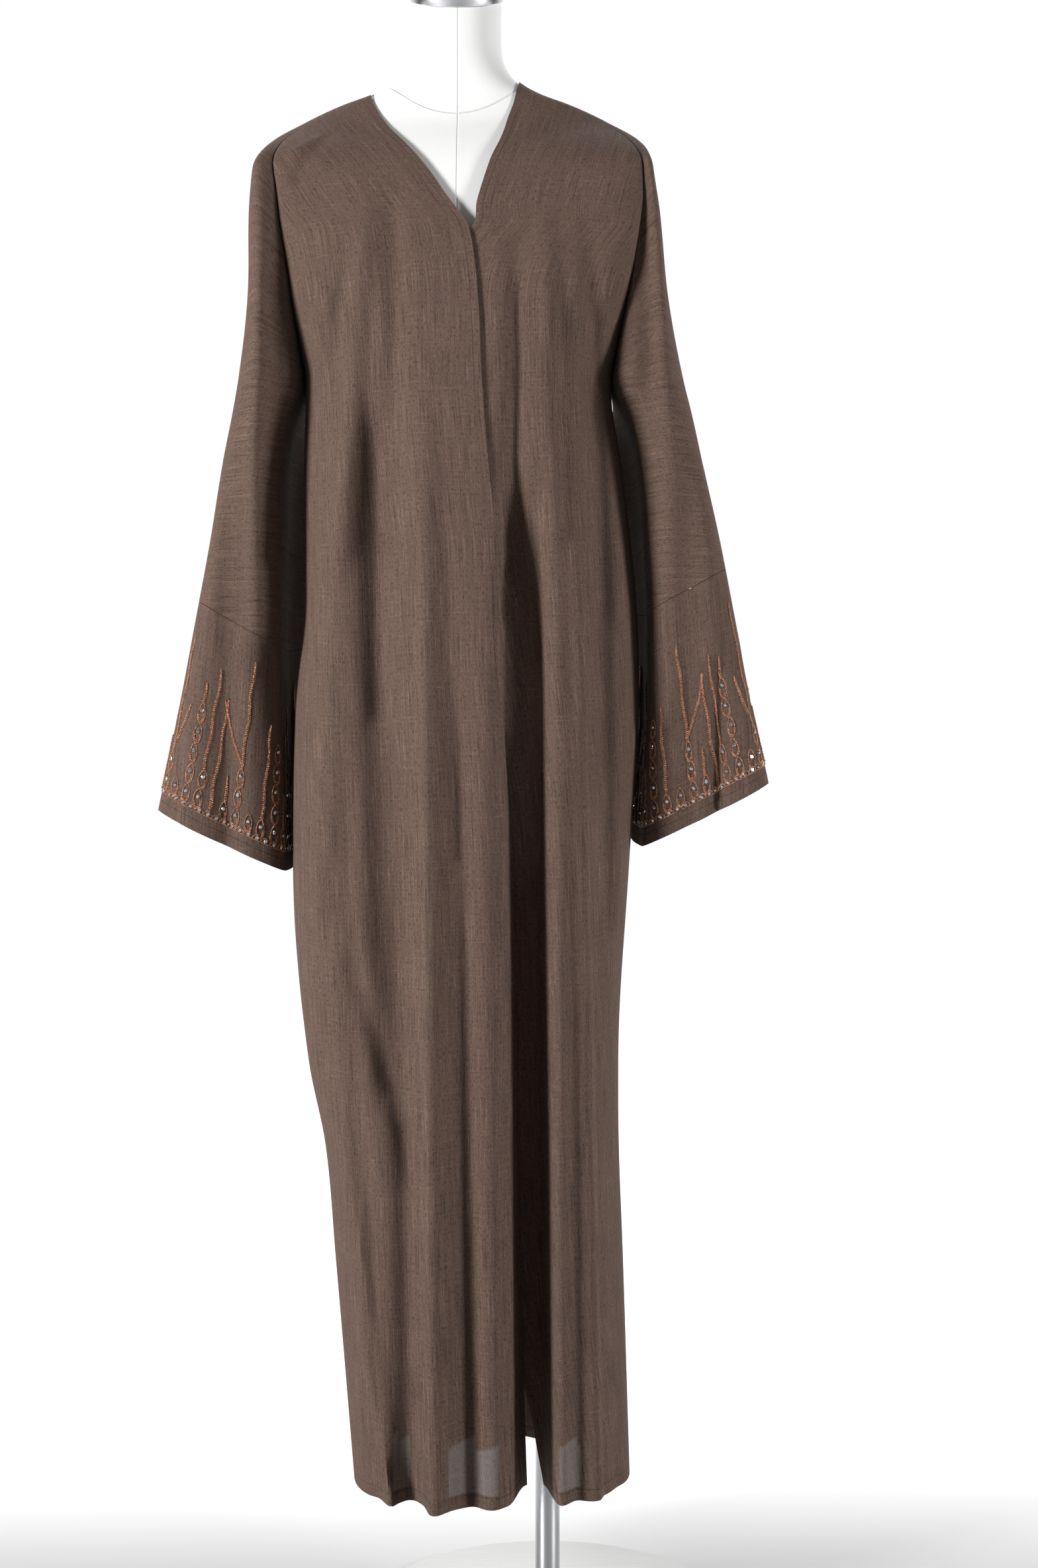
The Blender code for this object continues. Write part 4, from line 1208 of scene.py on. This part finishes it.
# Beadwork of the cuffs. Strands rise from the hem on the front and back halves, in an order of their own.
beads = {"size": 0.00165, "pitch": 0.00168, "lift": 0.0003, "stray": 0.00012,
         "crystal": 0.0043, "stoneLift": 0.0002, "loopLong": 0.0208, "loopWide": 0.0108,
         "sideMargin": 0.002, "lowMargin": 0.003, "topMargin": 0.004,
         "borderAbove": 0.0185, "borderTall": 0.004, "borderPitch": 0.0096,
         "ropeStep": 0.0021, "ropeWide": 0.00120, "ropeSlant": 0.00105, "ropeCore": 0.00045}
strandNames = ("at", "loops", "rope", "lean", "branch")
strandRows = [dict(zip(strandNames, row)) for row in (
    (0.045, 3, 0.052, -0.02, 0.0), (0.115, 1, 0.034, -0.05, 0.0), (0.185, 5, 0.000, -0.08, 0.0),
    (0.260, 1, 0.096, -0.12, 0.0), (0.325, 1, 0.000, -0.04, 0.0), (0.400, 3, 0.104, -0.11, 0.75),
    (0.470, 1, 0.026, -0.10, 0.0), (0.545, 0, 0.128, -0.10, 0.0), (0.610, 2, 0.096, -0.08, 0.0),
    (0.680, 5, 0.020, -0.07, 0.0), (0.750, 1, 0.000, -0.03, 0.0), (0.820, 2, 0.124, -0.05, -0.45),
    (0.880, 0, 0.060, -0.03, 0.0), (0.945, 4, 0.066, -0.01, 0.0))]


# Corners and faces of a small shape that is copied many times
def takeShape(made):
    corners = [vertex.co.copy() for vertex in made.data.vertices]
    faces = [tuple(face.vertices) for face in made.data.polygons]
    bpy.data.objects.remove(made)
    return corners, faces


def ballShape(size):
    return takeShape(primitive("bead_start", bpy.ops.mesh.primitive_ico_sphere_add, subdivisions=1,
                               radius=size / 2, location=(0, 0, 0)))


# Round stone with a flat table and a ring of slanting facets
def stoneShape(size):
    made = primitive("stone_start", bpy.ops.mesh.primitive_cylinder_add, vertices=10, radius=size / 2,
                     depth=size * 0.16, location=(0, 0, size * 0.08))
    insetTop(made, ((size * 0.10, size * 0.14), (size * 0.10, size * 0.07)))
    bpy.ops.object.mode_set(mode="OBJECT")
    return takeShape(made)


def curveLength(curve):
    return sum(math.dist(a, b) for a, b in zip(curve, curve[1:]))


# Places and directions at given lengths along a curve
def walk(curve, targets):
    gone, k = 0.0, 0
    for target in targets:
        while k < len(curve) - 2 and gone + math.dist(curve[k], curve[k + 1]) < target:
            gone += math.dist(curve[k], curve[k + 1])
            k += 1
        a, b = curve[k], curve[k + 1]
        span = max(1e-9, math.dist(a, b))
        part = (target - gone) / span
        yield mix(a[0], b[0], part), mix(a[1], b[1], part), (b[0] - a[0]) / span, (b[1] - a[1]) / span


# Beads and stones of a cuff half. Places are in metres: along the hem from the inner line, and up from it.
class CuffHalf:
    def __init__(self, side, face, tree, rng, spots, stones):
        self.side = side
        self.face = face
        self.tree = tree
        self.rng = rng
        self.spots = spots
        self.stones = stones
        steps = 80
        self.along = lengths([self.place(j / steps, 1) for j in range(steps + 1)])
        self.wide = self.along[-1]

    def place(self, across, down):
        return hangingPoint(self.side, self.face, across, down, True)

    def across(self, place):
        place = min(self.wide, max(0.0, place))
        k = next(n for n in range(1, len(self.along)) if self.along[n] >= place)
        part = (place - self.along[k - 1]) / (self.along[k] - self.along[k - 1])
        return (k - 1 + part) / (len(self.along) - 1)

    def tall(self, across):
        return (self.place(across, 1) - self.place(across, 0)).length

    # Point on the cloth and the way out of it
    def spot(self, place, rise):
        across = self.across(place)
        where = self.place(across, 1 - rise / self.tall(across)) + formShift
        near, normal, face, gap = self.tree.find_nearest(where)
        return near, normal

    def bead(self, place, rise, lift=0.0):
        if not beads["sideMargin"] < place < self.wide - beads["sideMargin"]:
            return
        if not beads["lowMargin"] < rise < self.tall(self.across(place)) - beads["topMargin"]:
            return
        place += self.rng.uniform(-1, 1) * beads["stray"]
        near, outward = self.spot(place, rise + self.rng.uniform(-1, 1) * beads["stray"])
        self.spots.append((near + outward * (beads["lift"] + lift), outward, self.rng.uniform(0, 6.28)))

    def stone(self, place, rise, turn):
        near, outward = self.spot(place, rise)
        self.stones.append((near + outward * beads["stoneLift"], outward, turn))

    # A curve as evenly spaced beads
    def line(self, curve):
        length = curveLength(curve)
        count = max(2, round(length / beads["pitch"]))
        step = length / count
        for place, rise, *unused in walk(curve, [n * step for n in range(count)]):
            self.bead(place, rise)

    # Short slanting rows of three beads wind up a curve
    def rope(self, curve):
        length = curveLength(curve)
        targets = [0.0]
        while targets[-1] + beads["ropeStep"] < length:
            targets.append(targets[-1] + beads["ropeStep"])
        for target, (place, rise, wayAcross, wayUp) in zip(targets, walk(curve, targets)):
            taper = 0.35 + 0.65 * smooth(0, 0.012, length - target)
            for n in (-1, 0, 1):
                off, ahead = n * beads["ropeWide"] * taper, n * beads["ropeSlant"]
                self.bead(place + wayUp * off + wayAcross * ahead, rise - wayAcross * off + wayUp * ahead,
                          beads["ropeCore"] if n == 0 else 0.0)

    def strand(self, at, low, tall, lean):
        if tall <= 0:
            return
        steps = max(4, int(tall / 0.004))
        self.rope([(at + lean * tall * k / steps + 0.0011 * math.sin(k * 0.5 + at * 300) * smooth(0, 3, k),
                    low + tall * k / steps) for k in range(steps + 1)])

    # A chain of drop-shaped loops, doubled at the lower end, each round a stone
    def chain(self, at, low, count, lean):
        long, wide = beads["loopLong"], beads["loopWide"]
        for n in range(count):
            bottom = low + n * long
            middle = at + lean * (bottom - low)
            size = self.rng.uniform(0.90, 1.06)
            tilt = lean + self.rng.uniform(-0.07, 0.07)
            drop = []
            for k in range(25):
                angle = 2 * math.pi * k / 24
                part = 0.5 - 0.5 * math.cos(angle)
                width = 0.5 * wide * size * math.sin(angle) * (1 - 0.30 * part)
                drop.append((middle + width + tilt * part * long, bottom + part * (long - 0.0010)))
            self.line(drop)
            turns = [math.radians(d) for d in range(-110, 111, 20)]
            self.line([(middle + 0.31 * wide * size * math.sin(turn) + tilt * 0.25 * long,
                        bottom + 0.0018 + 0.0052 * (1 - math.cos(turn))) for turn in turns])
            self.stone(middle + tilt * 0.55 * long, bottom + long * 0.60, self.rng.uniform(0, 6.28))

    # A row of low bumps above the hem with a stone in each, and a straight row under it
    def border(self, low):
        pitch = beads["borderPitch"]
        count = int((self.wide - 0.008) / pitch)
        for n in range(count):
            middle = 0.004 + (n + 0.5) * (self.wide - 0.008) / count
            self.line([(middle + (k / 10 - 0.5) * pitch,
                        low + 0.0040 * math.sin(math.pi * (k / 10)) ** 0.8 - 0.0010) for k in range(11)])
            self.stone(middle, low + 0.0002, 0.4)
        self.line([(0.003, low - 0.0026), (self.wide - 0.003, low - 0.0026)])


# One mesh of a small shape at many spots, each given by place, way out and turn
def scatter(name, shape, spots, material, smoothShade):
    points, faces = [], []
    for place, outward, turn in spots:
        side = outward.orthogonal().normalized()
        side.rotate(Matrix.Rotation(turn, 3, outward))
        turned = Matrix((side, outward.cross(side), outward)).transposed()
        start = len(points)
        points += [place + turned @ corner for corner in shape[0]]
        faces += [tuple(start + k for k in face) for face in shape[1]]
    mesh = bpy.data.meshes.new(name)
    mesh.from_pydata(points, [], faces)
    made = placed(name, mesh)
    mesh.materials.append(material)
    if smoothShade:
        mesh.shade_smooth()
    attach(made, "root")
    return made


def beadCuff(side, tree, glass, crystal):
    rng = random.Random(7 if side == "right" else 11)
    spots, stones = [], []
    low = beads["borderAbove"] + beads["borderTall"]
    for face in ("front", "back"):
        half = CuffHalf(side, face, tree, rng, spots, stones)
        for row in strandRows:
            at, lean = row["at"] * half.wide, row["lean"]
            if face == "back":
                at, lean = (0.97 - row["at"]) * half.wide, lean * 0.7
            chain = row["loops"] * beads["loopLong"]
            half.chain(at, low, row["loops"], lean)
            half.strand(at + lean * chain, low + chain, row["rope"] * rng.uniform(0.92, 1.08), lean)
            if row["branch"]:
                reach = [k * 0.0016 for k in range(26)]
                half.rope([(at + lean * chain + row["branch"] * t,
                            low + chain + 0.004 + t * 0.9 + 9.0 * t * t) for t in reach])
        half.border(low)
    made = scatter("seed_beads_" + side, ballShape(beads["size"]), spots, glass, True)
    gems = scatter("cuff_crystals_" + side, stoneShape(beads["crystal"]), stones, crystal, False)
    print(side, "cuff:", len(spots), "beads,", len(stones), "crystals")
    return [made, gems]


# Studio: pale floor, soft boxes and a level camera
lights = (("key", (-2.6, -1.75, 1.45), (0.0, 0.0, 0.75), 0.8, 138.0),
          ("side", (2.8, -1.35, 1.30), (0.0, 0.0, 0.75), 0.8, 74.0),
          ("top", (-0.6, -0.5, 3.4), (0.0, 0.0, 1.2), 1.0, 6.0),
          ("behind", (0.0, 1.9, 2.9), (0.0, 1.0, 0.0), 2.4, 55.0))
studio = {"floor": 0.34, "floorGlow": 1.0, "floorRadius": 9.0, "floorZ": -0.0004, "glowFrom": -0.25,
          "glowTo": 0.75, "farGlow": 0.30, "farFrom": 3.2, "around": 0.008, "skyFrom": 0.25, "skyTo": 0.85}


def buildStudio():
    shade = studio["floor"]
    floor = primitive("studio_floor", bpy.ops.mesh.primitive_circle_add, vertices=96, fill_type="NGON",
                      radius=studio["floorRadius"], location=(0, 0, studio["floorZ"]))
    # The floor glows behind the object only, where it runs into the white background
    finish = Finish("pale_floor", Base_Color=(shade, shade, shade, 1), Roughness=0.7,
                    Specular_IOR_Level=0.2, Emission_Strength=studio["floorGlow"])
    side, back, unused = finish.parts(finish.objectPlace())
    far = (side * side + back * back).between(studio["farFrom"], studio["floorRadius"]) * studio["farGlow"]
    glow = back.between(studio["glowFrom"], studio["glowTo"]) + far
    finish.set("Emission Color", finish.blend(glow.clamped(), (0, 0, 0), (1, 1, 1)))
    floor.data.materials.append(finish.material)
    for name, place, aim, size, power in lights:
        light = bpy.data.lights.new(name + "_light", "AREA")
        light.shape = "DISK"
        light.size = size
        light.energy = power
        lamp = placed(name + "_light", light)
        lamp.location = place
        lamp.rotation_euler = (Vector(aim) - Vector(place)).to_track_quat("-Z", "Y").to_euler()
    # White all round to look at, but it lights the object from behind only, so that folds keep their shade
    world = bpy.data.worlds.new("white_studio")
    world.use_nodes = True
    sky = Nodes(world.node_tree)
    side, back, unused = sky.parts(sky.node("ShaderNodeTexCoord", {}, {}, "Generated"))
    fade = sky.node("ShaderNodeMapRange", {"interpolation_type": "SMOOTHSTEP"},
                    {"Value": back, "From Min": studio["skyFrom"], "From Max": studio["skyTo"],
                     "To Min": studio["around"], "To Max": 1.0})
    seen = sky.node("ShaderNodeLightPath", {}, {}, "Is Camera Ray")
    background = sky.nodes["Background"]
    sky.feed(background, "Color", (1, 1, 1, 1))
    sky.feed(background, "Strength", fade.sum("MAXIMUM", fade, seen))
    bpy.context.scene.world = world
    data = bpy.data.cameras.new("level_camera")
    data.lens = camera["lens"]
    data.sensor_width = camera["sensor"]
    seer = placed("level_camera", data)
    seer.location = camera["place"]
    seer.rotation_euler = (math.pi / 2, 0, 0)
    bpy.context.scene.camera = seer
    bpy.context.scene.view_settings.view_transform = "Standard"


wool = clothFinish()
buildForm(coverFinish())
buildCap(chromeFinish())
buildStand(steelFinish(), plateFinish())
print("dress form and stand done")

cloth = buildCloth()
clothNormals = cloth.normals()
glass, crystal = beadFinish(), crystalFinish()
for piece in cloth.faces:
    made = wallPiece(cloth, piece, clothNormals, wool)
    outside = made.data.polygons[:len(cloth.faces[piece])]
    onCuff = piece.startswith("cuff")
    trims = []
    if onCuff:
        tree = BVHTree.FromPolygons([vertex.co for vertex in made.data.vertices],
                                    [list(face.vertices) for face in outside])
        trims = beadCuff(piece[5:], tree, glass, crystal)
    area = round(sum(face.area for face in outside), 4)
    print(piece, len(made.data.polygons) * 2, "triangles, area", area)
print("cloak done")

buildStudio()
